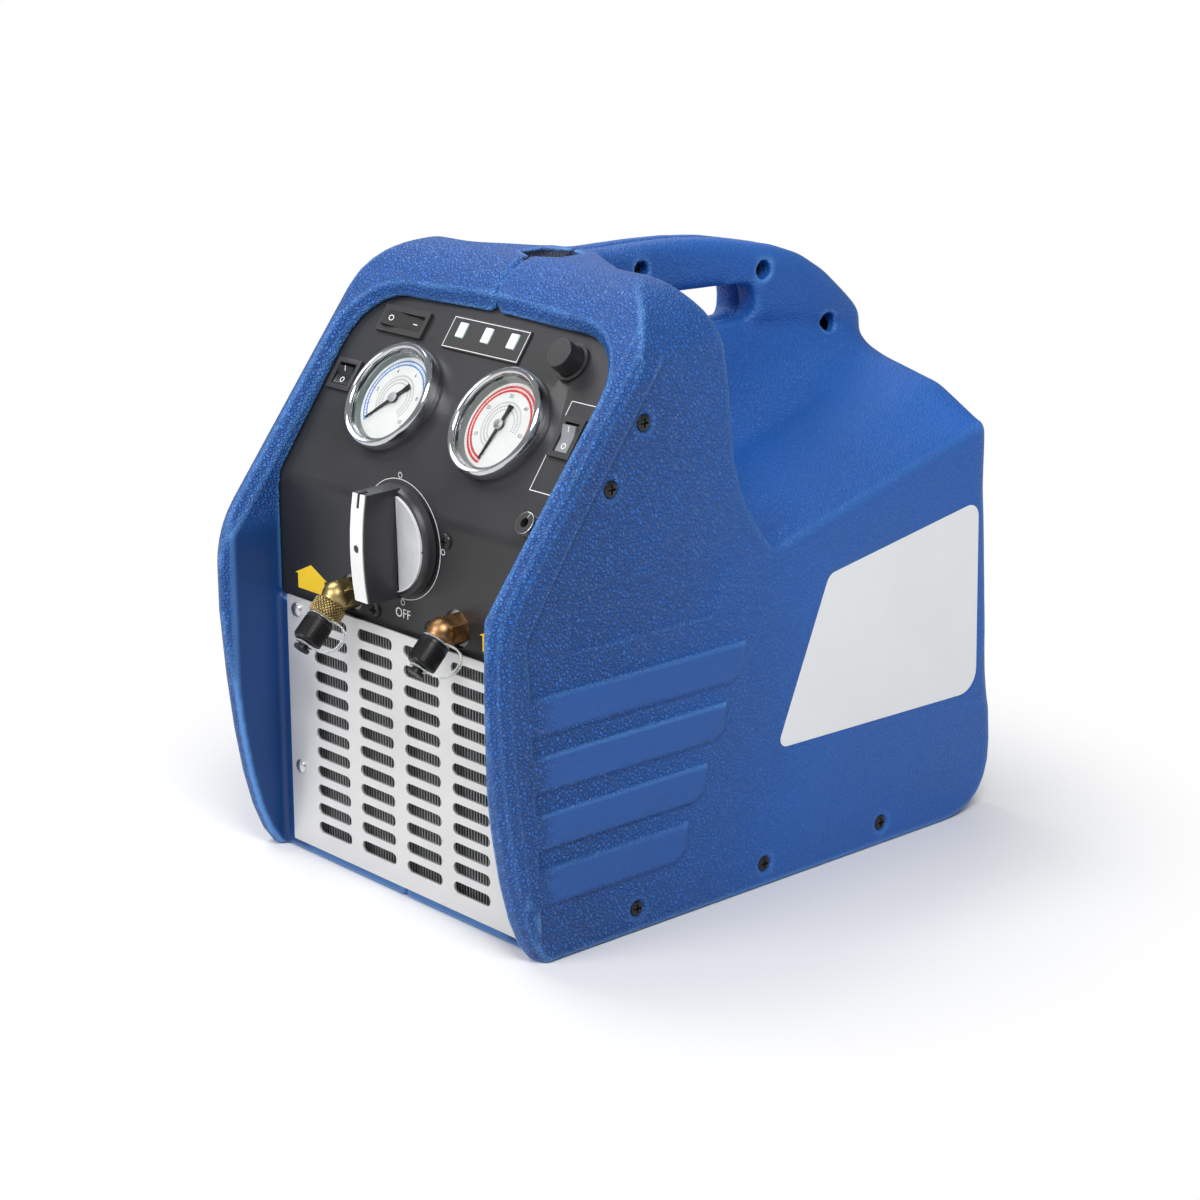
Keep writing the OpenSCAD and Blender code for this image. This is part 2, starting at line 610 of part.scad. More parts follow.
// Air-cooled cylinder with round fins
module cylinder_fins() {
    translate([0, cyl_y, crank_z1]) {
        cylinder(r = 28, h = cylinder_l);
        for (z = [6 : 9 : cylinder_l - 5]) translate([0, 0, z]) cylinder(r = 37, h = 3);
    }
}
module cylinder_node() { color("silver") cylinder_fins(); }
module cylinder_head() {
    color("gray") {
        translate([-head_hw, cyl_y - head_hw, head_z0]) cube([2 * head_hw, 2 * head_hw, head_t]);
        for (x = [-1, 1], y = [-1, 1]) translate([x * (head_hw - 8), cyl_y + y * (head_hw - 8), head_z0 + head_t - 1])
            cylinder(r = 5.5, h = 6, $fn = 6);
    }
}
module run_capacitor() {
    color("whitesmoke") translate([88, 60, base_z]) {
        cylinder(r = 20, h = 78);
        for (x = [-6, 6]) translate([x - 1, -3, 77]) cube([2, 6, 9]);
    }
}

// Valve block behind the panel, with bores for the spindle, ports and lines
module valve_block() {
    color("silver") difference() {
        translate([-block_hw, panel_y + panel_t, block_z0])
            cube([2 * block_hw, block_y1 - panel_y - panel_t, block_z1 - block_z0]);
        on_front(0, knob_z) translate([0, 0, -26]) cylinder(r = spindle_r + run_gap, h = 40);
        for (x = [-port_x, port_x]) on_front(x, port_z) translate([0, 0, -14]) cylinder(r = 6, h = 30);
        for (p = valve_screws, m = [-1, 1]) on_front(m * p[0], p[1]) translate([0, 0, -14]) cylinder(r = 1.9, h = 30);
    }
}
module valve_spindle() {
    color("gainsboro") on_front(0, knob_z) translate([0, 0, -24]) cylinder(r = spindle_r, h = 24 + 8);
}
// Disc and grip bar with a bowed front edge
module function_knob() {
    color([0.2, 0.2, 0.21]) on_front(0, knob_z) difference() {
        union() {
            translate([0, 0, 1]) rotate_extrude() polygon([[0, 0], [knob_r, 0], [knob_r, 4], [knob_r - 1.5, 6.5], [0, 6.5]]);
            translate([-grip_w / 2, 0, 0]) rotate([90, 0, 90]) linear_extrude(grip_w) polygon(grip_path());
        }
        translate([0, 0, -1]) cylinder(r = spindle_r, h = 9);
        // pointer slot at the upper end of the grip
        translate([-1.2, knob_r - 9, grip_h - 1]) cube([2.4, 20, 20]);
    }
}
// Grip bar seen from the side: along the bar, and out of the panel
function grip_path(inset = 0) = concat([[inset - knob_r + 0.5, 5], [knob_r - 0.5 - inset, 5]],
    arc([0, grip_h + 7 - 170], 170, 90 - 10.1, 90 + 10.1, 6));
// Pale half-moon plates beside the grip and the strip on its front edge
module knob_trim() {
    color("whitesmoke") on_front(0, knob_z) {
        for (m = [0, 1]) mirror([m, 0, 0]) intersection() {
            translate([0, 0, 7.5]) cylinder(r = knob_r - 4, h = 1.2);
            translate([grip_w / 2 + 0.05, -50, 0]) cube([50, 100, 20]);
        }
        difference() {
            translate([1 - grip_w / 2, 0, 0]) rotate([90, 0, 90]) linear_extrude(grip_w - 2) difference() {
                polygon([for (p = grip_path(2)) p + [0, 0.8]]);
                polygon(grip_path());
                translate([-60, -10]) square([120, grip_h + 10]);
            }
            translate([-1.2, knob_r - 9, grip_h - 1]) cube([2.4, 20, 20]);
            cylinder(r = 2.2, h = 60);
        }
    }
}

// Gauge pieces, drawn at the middle of a gauge with Z out of the panel
module gauge_case() {
    color("silver") difference() {
        union() {
            translate([0, 0, -24]) cylinder(r = case_r, h = 25);
            cylinder(r = bezel_r - 0.8, h = 2);
            translate([0, 0, -34]) cylinder(r = 6, h = 11);
        }
        translate([0, 0, 0.5]) cylinder(r = case_r - 1.2, h = 9);
        translate([0, 0, -8]) cylinder(r = needle_pin_r + run_gap, h = 12);
    }
}
module gauge_dial() {
    color("white") difference() {
        translate([0, 0, 0.5]) cylinder(r = case_r - 1.4, h = 0.8);
        cylinder(r = needle_pin_r + 0.5, h = 4);
    }
}
// Needle lies on its zero mark, down and to the left; the high gauge is turned a little further
module gauge_needle() {
    color("black") {
        translate([0, 0, -6]) cylinder(r = needle_pin_r, h = 9);
        translate([0, 0, 1.8]) cylinder(r = 3, h = 1.4);
        rotate(225) translate([0, 0, 2]) linear_extrude(0.8)
            polygon([[0, -1.1], [case_r - 7, -0.35], [case_r - 7, 0.35], [0, 1.1], [-7, 1], [-12, 1.7], [-12, -1.7], [-7, -1]]);
    }
}
module gauge_bezel() {
    color("gainsboro") translate([0, 0, 2]) rotate_extrude($fn = 64) polygon([[bezel_r - 0.8, 0], [bezel_r, 1.5],
        [bezel_r, 4], [bezel_r - 1.2, 6.4], [bezel_r - 3.2, 7], [bezel_r - 4.6, 6.2], [bezel_r - 4.6, 4.4],
        [bezel_r - 3.6, 4.4], [bezel_r - 3.6, 2.8], [bezel_r - 4.6, 2.8], [bezel_r - 4.6, 0]]);
}
module gauge_lens() {
    color([0.8, 0.9, 0.95, 0.3]) translate([0, 0, 4.9]) cylinder(r = bezel_r - 3.7, h = 1.4);
}

// Rocker switch: bezel and body with a pocket, and the rocker on its pin.
// The pin lies along X; w is along the pin and h across it
module switch_body(w, h, deep) {
    color("black") difference() {
        union() {
            translate([-w / 2 - 2, -h / 2 - 2, 0]) linear_extrude(2)
                polygon([[0, 0], [w + 4, 0], [w + 4, h + 4], [0, h + 4]]);
            translate([-w / 2, -h / 2, -deep]) cube([w, h, deep + 1]);
        }
        translate([1.2 - w / 2, 1 - h / 2, -7]) cube([w - 2.4, h - 2, 12]);
        translate([0.4 - w / 2, 0, -2.5]) rotate([0, 90, 0]) cylinder(r = 1.3 + run_gap, h = w - 0.8);
    }
}
module rocker(w, h) {
    a = h / 2 - 1.6;
    color([0.1, 0.1, 0.1]) translate([0, 0, -2.5]) rotate([rocker_tilt, 0, 0]) {
        translate([1.5 - w / 2, 0, 0]) rotate([90, 0, 90]) linear_extrude(w - 3)
            polygon([[-a, 1.5], [-a * 0.5, -2], [a * 0.5, -2], [a, 1.5], [a - 0.6, 4.8], [0, 3.2], [0.6 - a, 4.8]]);
        translate([0.7 - w / 2, 0, 0]) rotate([0, 90, 0]) cylinder(r = 1.3, h = w - 1.4);
    }
}
module start_button_body() {
    color("black") on_rake(start_at[0], start_at[1]) difference() {
        union() {
            cylinder(r = button_r + 2.4, h = 2);
            translate([0, 0, -24]) cylinder(r = button_r + 1, h = 25);
        }
        translate([0, 0, -6]) cylinder(r = button_r + seat_gap, h = 12);
        translate([0, 0, -20]) cylinder(r = 3 + run_gap, h = 20);
    }
}
module start_button() {
    color([0.08, 0.08, 0.08]) on_rake(start_at[0], start_at[1]) {
        translate([0, 0, button_travel - 5.7]) cylinder(r = button_r, h = 15);
        translate([0, 0, -15]) cylinder(r = 3, h = 14);
    }
}
// Raised strip with three lamp windows, and the lamps in them
module indicator_strip() {
    color("black") on_rake(strip_at[0], strip_at[1]) difference() {
        linear_extrude(1.2) polygon(box_path(65, 20, 1));
        for (x = [-1:1]) translate([x * 21.5, 2, 0]) window(6.8, 9.4);
    }
}
module indicator_lamps() {
    color("white") for (x = [-1:1]) on_rake(strip_at[0] + x * 21.5, strip_at[1] + 2)
        translate([-3.2, -4.5, -6]) cube([6.4, 9, 7.8]);
}
module service_jack() {
    color("silver") on_rake(jack_at[0], jack_at[1]) difference() {
        union() {
            cylinder(r = 6.2, h = 5);
            translate([0, 0, -16]) cylinder(r = 4, h = 17);
        }
        translate([0, 0, -4]) cylinder(r = 2.6, h = 20);
    }
}

// Service ports: a hexagonal neck, and a branch that leans down at 45 degrees
module on_branch(m, d) {
    on_front(m * port_x, port_z) translate([0, 0, neck_l]) rotate([45, 0, 0]) translate([0, 0, d]) children();
}
module port_fitting(m, stub) {
    difference() {
        on_front(m * port_x, port_z) {
            translate([0, 0, -14]) cylinder(r = 6, h = 14);
            translate([0, 0, -panel_t]) rotate(30) cylinder(r = 9.2, h = neck_l + panel_t, $fn = 6);
        }
        // faced off where the filter or the tether's eye seats
        on_branch(m, elbow_l) cylinder(r = 14, h = 14);
    }
    on_branch(m, 0) intersection() {
        sphere(r = 8.6);
        translate([-10, -10, -10]) cube([20, 20, 10 + elbow_l]);
    }
    on_branch(m, 0) cylinder(r = 7.6, h = elbow_l);
    on_branch(m, 0) cylinder(r = flare_r, h = elbow_l + stub);
}
module input_fitting() { color("darkgoldenrod") port_fitting(-1, 6); }
module output_fitting() { color("peru") port_fitting(1, cap_l - 4); }
// Knurled filter body between the inlet elbow and its cap
module input_filter() {
    color("goldenrod") on_branch(-1, elbow_l) difference() {
        union() {
            rotate_extrude() polygon([[0, 0], [filter_r - 1, 0], [filter_r, 1], [filter_r, filter_l - 1],
                [filter_r - 1, filter_l], [0, filter_l]]);
            translate([0, 0, filter_l - 1]) cylinder(r = flare_r, h = cap_l - 3);
        }
        translate([0, 0, -1]) cylinder(r = flare_r, h = 7);
    }
}
// Screw cap with grip flutes and an end boss for its tether
module port_cap(m, d) {
    color([0.06, 0.06, 0.06]) on_branch(m, d) difference() {
        union() {
            cylinder(r = cap_r, h = cap_l);
            translate([0, 0, cap_l - 1]) cylinder(r = 3, h = 5);
            translate([0, 0, cap_l + 3]) cylinder(r = 4.8, h = 2);
        }
        translate([0, 0, -1]) cylinder(r = flare_r + 0.08, h = cap_l - 2);
        for (a = [0 : 24 : 359]) rotate(a) translate([cap_r + 0.2, 0, 3]) cylinder(r = 0.7, h = cap_l, $fn = 16);
    }
}
module input_cap() { port_cap(-1, elbow_l + filter_l + 1.4); }
module output_cap() { port_cap(1, elbow_l + 1.4); }
// Tether: an eye round the neck, an eye round the boss and the loop between them
module tether(m, d, neck_r) {
    span = cap_l + 2.3;
    color([0.9, 0.92, 0.92, 0.6]) on_branch(m, d) {
        difference() {
            cylinder(r = neck_r + 2.4, h = 0.9);
            translate([0, 0, -1]) cylinder(r = neck_r + 0.1, h = 4);
        }
        translate([0, 0, span - 0.5]) difference() {
            cylinder(r = 5.2, h = 1);
            translate([0, 0, -1]) cylinder(r = 3.3, h = 4);
        }
        tether_loop(neck_r + 1.6, 4.6, 0.1, span);
    }
}
// Bowed strap from the neck eye at x0, z0 to the boss eye at x1, z1
module tether_loop(x0, x1, z0, z1) {
    path = concat(bend([x0, z0], [x0 + 19, z0 - 1], [x0 + 20, (z0 + z1) / 2], 5),
        bend([x0 + 20, (z0 + z1) / 2 + 2], [x0 + 19, z1 + 4], [x1, z1], 5));
    rotate([90, 0, 0]) translate([0, 0, -1.2]) linear_extrude(2.4)
        polygon(concat(path, [for (i = [len(path) - 1:-1:0]) path[i] + strap_side(path, i) * 0.9]));
}
function strap_side(p, i) = let (a = p[max(i - 1, 0)], b = p[min(i + 1, len(p) - 1)], t = unit(b - a)) [-t[1], t[0]];
module input_tether() { tether(-1, elbow_l + filter_l + 0.2, flare_r); }
module output_tether() { tether(1, elbow_l + 0.2, flare_r); }

// Three-pin inlet in the rear wall of the left half
module power_inlet() {
    color("black") translate([-68, inlet_y, 105]) {
        difference() {
            union() {
                translate([-25, 0, -15]) cube([50, 2.5, 30]);
                translate([-16, -24, -13]) cube([32, 25, 26]);
            }
            translate([-12.5, -14, -8.5]) cube([25, 30, 17]);
        }
        for (x = [-7, 0, 7]) translate([x - 1, -15, x == 0 ? 2 : -3]) cube([2, 12, 5]);
    }
}

// Copper lines: straight runs with slightly thicker soldered elbows
module pipe(pts) {
    color("chocolate") {
        for (i = [0:len(pts) - 2]) let (d = pts[i + 1] - pts[i], l = norm(d))
            translate(pts[i]) rotate([0, acos(d[2] / l), atan2(d[1], d[0])]) cylinder(r = line_r, h = l);
        if (len(pts) > 2) for (i = [1:len(pts) - 2]) translate(pts[i]) sphere(r = line_r + 1);
    }
}
module suction_line() { pipe([[-25, block_y1, line_z], [-25, cyl_y - head_hw, line_z]]); }
module discharge_line() {
    y = (coil_y0 + coil_y1) / 2;
    pipe([[head_hw, cyl_y, line_z], [75, cyl_y, line_z], [75, y, line_z], [75, y, coil_z1]]);
}
module liquid_line() {
    y = (coil_y0 + coil_y1) / 2;
    pipe([[-75, y, coil_z1], [-75, y, 186], [-block_hw, y, 186]]);
}

// Pan-head screw along Z with its seat at Z zero
module screw(head_r, head_h, r, l) {
    color([0.1, 0.1, 0.1]) difference() {
        union() {
            cylinder(r = head_r, h = head_h);
            translate([0, 0, -l]) cylinder(r = r, h = l + 0.5);
        }
        for (a = [0, 90]) rotate(a) translate([-head_r * 0.6, -0.5, head_h - 1]) cube([head_r * 1.2, 1, 3]);
    }
}
module side_screws() {
    for (p = tower_screws, m = [0, 1]) mirror([m, 0, 0]) translate([side_x - 2.6, p[0], p[1]]) rotate([0, 90, 0])
        screw(4.8, 2.4, 1.85, 14);
}
module base_screws() {
    for (p = foot_screws, m = [0, 1]) mirror([m, 0, 0]) translate([side_x - 2.6, p[0], p[1]]) rotate([0, 90, 0])
        screw(4.8, 2, 2, 8);
}
module handle_screws() {
    for (p = grip_screws) translate([8, p[0], p[1]]) rotate([0, 90, 0]) screw(5, 3, 1.85, 18);
}
module panel_screws() {
    for (p = valve_screws, m = [-1, 1]) on_front(m * p[0], p[1]) screw(4.4, 2.6, 1.85, 12);
}
module grille_screws() {
    for (p = plate_screws, m = [-1, 1]) translate([m * p[0], grille_y, p[1]]) rotate([90, 0, 0])
        screw(4.2, 2.4, 1.85, 5);
}

left_housing();
right_housing();
side_label();
control_panel();
grille_plate();
condenser_coil();
base_plate();
fan_shroud();
fan();
drive_shaft();
motor();
crankcase();
cylinder_node();  // cylinder
cylinder_head();
run_capacitor();
valve_block();
valve_spindle();
function_knob();
knob_trim();
on_rake(-gauge_x, gauge_s) gauge_case();  // low_gauge_case
on_rake(-gauge_x, gauge_s) gauge_dial();  // low_gauge_dial
on_rake(-gauge_x, gauge_s) gauge_needle();  // low_gauge_needle
on_rake(-gauge_x, gauge_s) gauge_bezel();  // low_gauge_bezel
on_rake(-gauge_x, gauge_s) gauge_lens();  // low_gauge_lens
on_rake(gauge_x, gauge_s) gauge_case();  // high_gauge_case
on_rake(gauge_x, gauge_s) gauge_dial();  // high_gauge_dial
on_rake(gauge_x, gauge_s) rotate(35) gauge_needle();  // high_gauge_needle
on_rake(gauge_x, gauge_s) gauge_bezel();  // high_gauge_bezel
on_rake(gauge_x, gauge_s) gauge_lens();  // high_gauge_lens
on_rake(power_at[0], power_at[1]) rotate(90) switch_body(12, 36, 18);  // power_switch_body
on_rake(power_at[0], power_at[1]) rotate(90) rocker(12, 36);  // power_rocker
on_rake(mode_at[0], mode_at[1]) switch_body(mode_w, 19, 16);  // mode_switch_body
on_rake(mode_at[0], mode_at[1]) rocker(mode_w, 19);  // mode_rocker
on_rake(breaker_at[0], breaker_at[1]) switch_body(breaker_w, 15, 18);  // breaker_body
on_rake(breaker_at[0], breaker_at[1]) rocker(breaker_w, 15);  // breaker_rocker
start_button_body();
start_button();
indicator_strip();
indicator_lamps();
service_jack();
input_fitting();
input_filter();
input_cap();
input_tether();
output_fitting();
output_cap();
output_tether();
power_inlet();
suction_line();
discharge_line();
liquid_line();
side_screws();
base_screws();
handle_screws();
panel_screws();
grille_screws();
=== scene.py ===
import json
import math
import bmesh
import bpy
import numpy as np
import openvdb
from mathutils import Matrix, Vector
from mathutils.bvhtree import BVHTree

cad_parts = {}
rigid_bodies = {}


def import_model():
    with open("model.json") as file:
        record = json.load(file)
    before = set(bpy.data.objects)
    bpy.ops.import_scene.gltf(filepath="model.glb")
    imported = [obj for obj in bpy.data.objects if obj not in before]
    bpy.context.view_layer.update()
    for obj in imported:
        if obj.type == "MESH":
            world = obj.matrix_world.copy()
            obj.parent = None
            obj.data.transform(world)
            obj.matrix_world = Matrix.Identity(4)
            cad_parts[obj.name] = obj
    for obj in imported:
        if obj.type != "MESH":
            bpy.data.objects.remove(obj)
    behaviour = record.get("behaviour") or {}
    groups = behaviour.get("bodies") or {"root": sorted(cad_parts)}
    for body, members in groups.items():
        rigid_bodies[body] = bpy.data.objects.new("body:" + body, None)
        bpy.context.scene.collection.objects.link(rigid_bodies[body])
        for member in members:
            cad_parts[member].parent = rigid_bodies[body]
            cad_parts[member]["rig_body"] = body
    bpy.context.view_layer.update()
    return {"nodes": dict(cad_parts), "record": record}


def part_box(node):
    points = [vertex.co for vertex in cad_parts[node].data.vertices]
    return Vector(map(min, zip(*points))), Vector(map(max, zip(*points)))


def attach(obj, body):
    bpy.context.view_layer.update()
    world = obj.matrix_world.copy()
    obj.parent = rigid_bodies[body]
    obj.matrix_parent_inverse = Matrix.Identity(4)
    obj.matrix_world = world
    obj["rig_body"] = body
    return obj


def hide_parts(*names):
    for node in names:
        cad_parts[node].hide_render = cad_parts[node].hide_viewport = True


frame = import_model()
nodes = frame["nodes"]
slot_of = {s["node"]: s["material_slot"] for s in frame["record"]["subparts"]}


# Studio: a pale floor that runs past the picture, and soft lamps at left, front, right and back.
# The camera stands off the right front corner with a long lens, a little above the machine.
scene = bpy.context.scene
scene.view_settings.view_transform = "Standard"


def put(tree, kind, inputs=None, **settings):
    """Adds a node; inputs are values or sockets to join, by name or number."""
    node = tree.nodes.new(kind)
    for key, value in settings.items():
        setattr(node, key, value)
    for key, value in (inputs or {}).items():
        if isinstance(value, bpy.types.NodeSocket):
            tree.links.new(value, node.inputs[key])
        else:
            node.inputs[key].default_value = value
    return node


def bare_material(name):
    """A new material, its tree and its Principled shader."""
    material = bpy.data.materials.new(name)
    material.use_nodes = True
    tree = material.node_tree
    return material, tree, tree.nodes["Principled BSDF"]


camera = bpy.data.objects.new("camera", bpy.data.cameras.new("camera"))
scene.collection.objects.link(camera)
scene.camera = camera
camera.data.lens = 84.2
camera.data.sensor_width = 36.0
camera.data.clip_end = 60.0
turn, lift = math.radians(48.008), math.radians(16.433)
back = Vector((math.sin(turn) * math.cos(lift), -math.cos(turn) * math.cos(lift), math.sin(lift)))
camera.location = (1.1554, -1.0459, 0.6020)
camera.rotation_mode = "QUATERNION"
camera.rotation_quaternion = (-back).to_track_quat("-Z", "Y")

for name, at, aim, size, power in (
    ("lamp_top", (-1.0, -0.2, 1.7), (0.0, 0.0, 0.2), 1.2, 19.5),
    ("lamp_front", (-0.4, -2.3, 1.5), (0.0, -0.05, 0.22), 1.2, 35.0),
    ("lamp_side", (1.3, -0.75, 1.9), (0.05, -0.05, 0.2), 0.9, 36.0),
    ("lamp_back", (-1.45, 1.3, 1.3), (0.0, 0.0, 0.25), 1.4, 4.0),
):
    lamp = bpy.data.objects.new(name, bpy.data.lights.new(name, "AREA"))
    lamp.data.size = size
    lamp.data.energy = power
    lamp.location = at
    lamp.rotation_mode = "QUATERNION"
    lamp.rotation_quaternion = (Vector(aim) - Vector(at)).to_track_quat("-Z", "Y")
    scene.collection.objects.link(lamp)

world = bpy.data.worlds.new("studio")
scene.world = world
world.use_nodes = True
world.node_tree.nodes["Background"].inputs["Color"].default_value = (0.93, 0.96, 1.0, 1.0)
world.node_tree.nodes["Background"].inputs["Strength"].default_value = 0.3

floor_mesh = bpy.data.meshes.new("floor")
floor_half, floor_z = 15.0, -0.0002
corners = [(x * floor_half, y * floor_half, floor_z) for x, y in ((-1, -1), (1, -1), (1, 1), (-1, 1))]
floor_mesh.from_pydata(corners, [], [(0, 1, 2, 3)])
floor = bpy.data.objects.new("floor", floor_mesh)
scene.collection.objects.link(floor)
material, tree, shader = bare_material("pale_floor")
shader.inputs["Base Color"].default_value = (0.78, 0.78, 0.79, 1.0)
shader.inputs["Roughness"].default_value = 0.7
shader.inputs["Specular IOR Level"].default_value = 0.1
place = put(tree, "ShaderNodeTexCoord").outputs["Object"]
reach = put(tree, "ShaderNodeVectorMath", {0: place}, operation="LENGTH").outputs["Value"]
far = put(tree, "ShaderNodeMapRange", {"Value": reach, "From Min": 0.2, "From Max": 0.4},
          interpolation_type="SMOOTHSTEP")
rays = put(tree, "ShaderNodeLightPath").outputs
seen = put(tree, "ShaderNodeMath", {0: rays["Is Camera Ray"], 1: rays["Is Glossy Ray"]}, operation="MAXIMUM")
seen = put(tree, "ShaderNodeMath", {0: seen.outputs[0], 1: rays["Is Transmission Ray"]}, operation="MAXIMUM")
share = put(tree, "ShaderNodeMath", {0: far.outputs[0], 1: seen.outputs[0]}, operation="MULTIPLY")
white = put(tree, "ShaderNodeEmission", {"Color": (1.0, 1.0, 1.0, 1.0), "Strength": 1.0})
mixed = put(tree, "ShaderNodeMixShader", {0: share.outputs[0], 1: shader.outputs[0], 2: white.outputs[0]})
tree.links.new(mixed.outputs[0], tree.nodes["Material Output"].inputs["Surface"])
floor_mesh.materials.append(material)


# Machinery inside: cast and turned metal, sheet tray, enamelled motor, copper lines.
# Each stays the solid it is and takes a finish with patches, uneven gloss and a fine grain.
def surface_play():
    """Node group: patches in a colour, uneven roughness and a fine grain."""
    group = bpy.data.node_groups.get("surface_play")
    if group:
        return group
    group = bpy.data.node_groups.new("surface_play", "ShaderNodeTree")
    for label, kind, value in (
        ("Colour", "NodeSocketColor", (0.5, 0.5, 0.5, 1.0)),
        ("Patches", "NodeSocketFloat", 0.1),
        ("Patch Scale", "NodeSocketFloat", 40.0),
        ("Roughness", "NodeSocketFloat", 0.5),
        ("Gloss Play", "NodeSocketFloat", 0.1),
        ("Grain Scale", "NodeSocketFloat", 900.0),
    ):
        group.interface.new_socket(label, in_out="INPUT", socket_type=kind).default_value = value
    group.interface.new_socket("Colour", in_out="OUTPUT", socket_type="NodeSocketColor")
    group.interface.new_socket("Roughness", in_out="OUTPUT", socket_type="NodeSocketFloat")
    group.interface.new_socket("Height", in_out="OUTPUT", socket_type="NodeSocketFloat")
    given = put(group, "NodeGroupInput").outputs
    place = put(group, "ShaderNodeTexCoord").outputs["Object"]
    broad = put(group, "ShaderNodeTexNoise", {"Vector": place, "Scale": given["Patch Scale"], "Detail": 4.0}).outputs[0]
    fine = put(group, "ShaderNodeTexNoise", {"Vector": place, "Scale": given["Grain Scale"], "Detail": 2.0}).outputs[0]
    swing = put(group, "ShaderNodeMapRange", {
        "Value": broad, "From Min": 0.3, "From Max": 0.7, "To Min": -1.0, "To Max": 1.0})
    value = put(group, "ShaderNodeMath", {0: swing.outputs[0], 1: given["Patches"], 2: 1.0},
                operation="MULTIPLY_ADD")
    tinted = put(group, "ShaderNodeHueSaturation", {"Color": given["Colour"], "Value": value.outputs[0]})
    rough = put(group, "ShaderNodeMath", {0: swing.outputs[0], 1: given["Gloss Play"], 2: given["Roughness"]},
                operation="MULTIPLY_ADD")
    put(group, "NodeGroupOutput", {"Colour": tinted.outputs[0], "Roughness": rough.outputs[0], "Height": fine})
    return group


def finish_of(name, colour, roughness, metallic=0.0, patches=0.08, patch_scale=40.0, gloss_play=0.08,
              grain=900.0, depth=0.00002, strength=0.3, **sockets):
    """A material whose colour, gloss and grain come from surface_play."""
    material, tree, shader = bare_material(name)
    play = put(tree, "ShaderNodeGroup", node_tree=surface_play())
    for label, value in (("Colour", (*colour, 1.0)), ("Patches", patches), ("Patch Scale", patch_scale),
                         ("Roughness", roughness), ("Gloss Play", gloss_play), ("Grain Scale", grain)):
        play.inputs[label].default_value = value
    bump = put(tree, "ShaderNodeBump", {"Height": play.outputs["Height"], "Strength": strength, "Distance": depth})
    tree.links.new(play.outputs["Colour"], shader.inputs["Base Color"])
    tree.links.new(play.outputs["Roughness"], shader.inputs["Roughness"])
    tree.links.new(bump.outputs[0], shader.inputs["Normal"])
    shader.inputs["Metallic"].default_value = metallic
    for label, value in sockets.items():
        shader.inputs[label.replace("_", " ")].default_value = value
    return material


def dress(material, *names):
    """Gives CAD nodes a material."""
    for name in names:
        nodes[name].data.materials.clear()
        nodes[name].data.materials.append(material)


cast_aluminium = finish_of("cast_aluminium", (0.55, 0.56, 0.58), 0.5, 1.0, 0.12, 60.0, 0.12, 700.0, 0.0002)
turned_steel = finish_of("turned_steel", (0.58, 0.58, 0.6), 0.3, 1.0, 0.06, 90.0, 0.1, 1500.0)
zinc_sheet = finish_of("zinc_sheet", (0.5, 0.52, 0.55), 0.42, 1.0, 0.2, 35.0, 0.15, 500.0)
copper_tube = finish_of("copper_tube", (0.62, 0.3, 0.17), 0.32, 1.0, 0.15, 60.0, 0.12, 900.0)
dark_enamel = finish_of("dark_enamel", (0.1, 0.105, 0.11), 0.4, 0.0, 0.1, 30.0, 0.08, 500.0, 0.0001)
black_moulding = finish_of("black_moulding", (0.022, 0.022, 0.024), 0.45, 0.0, 0.1, 60.0, 0.08, 1400.0, 0.00006)
pale_can = finish_of("pale_can", (0.75, 0.75, 0.73), 0.35)
dress(cast_aluminium, "crankcase", "cylinder", "cylinder_head", "valve_block")
dress(turned_steel, "drive_shaft", "valve_spindle", "low_gauge_case", "high_gauge_case")
dress(zinc_sheet, "base_plate")
dress(copper_tube, "suction_line", "discharge_line", "liquid_line")
dress(dark_enamel, "motor")
dress(black_moulding, "fan", "fan_shroud")
dress(pale_can, "run_capacitor")


# Condenser: thin aluminium fins pressed onto copper tubes, behind the grille.
# One fin is repeated along the width in front of a dark core, which is painted shade for the depth of the coil; the
# fins darken back from their front edges, also painted shade; the tubes turn back at the ends.
def node_tool(name, inputs):
    """A new Geometry Nodes tree with named inputs."""
    tree = bpy.data.node_groups.new(name, "GeometryNodeTree")
    for label, kind, value in inputs:
        socket = tree.interface.new_socket(label, in_out="INPUT", socket_type=kind)
        if value is not None:
            socket.default_value = value
    tree.interface.new_socket("Geometry", in_out="OUTPUT", socket_type="NodeSocketGeometry")
    return tree, put(tree, "NodeGroupInput").outputs


def closed_tool(tree, geometry, material):
    """Ends a tree in real geometry with its material."""
    real = put(tree, "GeometryNodeRealizeInstances", {"Geometry": geometry})
    dressed = put(tree, "GeometryNodeSetMaterial", {"Geometry": real.outputs[0], "Material": material})
    put(tree, "NodeGroupOutput", {"Geometry": dressed.outputs[0]})


def grown(name, tree, values, base=None):
    """Runs a tree and returns its result as a plain mesh."""
    holder = bpy.data.objects.new(name, base or bpy.data.meshes.new(name))
    scene.collection.objects.link(holder)
    tool = holder.modifiers.new("tool", "NODES")
    tool.node_group = tree
    for item in tree.interface.items_tree:
        if item.in_out == "INPUT" and item.name in values:
            tool[item.identifier] = values[item.name]
    mesh = bpy.data.meshes.new_from_object(holder.evaluated_get(bpy.context.evaluated_depsgraph_get()))
    holder.modifiers.remove(tool)
    bpy.data.objects.remove(holder)
    mesh.name = name
    return mesh


def settled(name, mesh, body, *stands_for, slot=None, material=None, smooth=30.0):
    """Makes the object of a finished mesh, says what it rides on, and hides the CAD parts it stands for."""
    piece = bpy.data.objects.new(name, mesh)
    scene.collection.objects.link(piece)
    if material:
        mesh.materials.clear()
        mesh.materials.append(material)
    mesh.polygons.foreach_set("use_smooth", [True] * len(mesh.polygons))
    mesh.set_sharp_from_angle(angle=math.radians(smooth))
    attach(piece, body)
    if stands_for:
        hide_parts(*stands_for)
    return piece


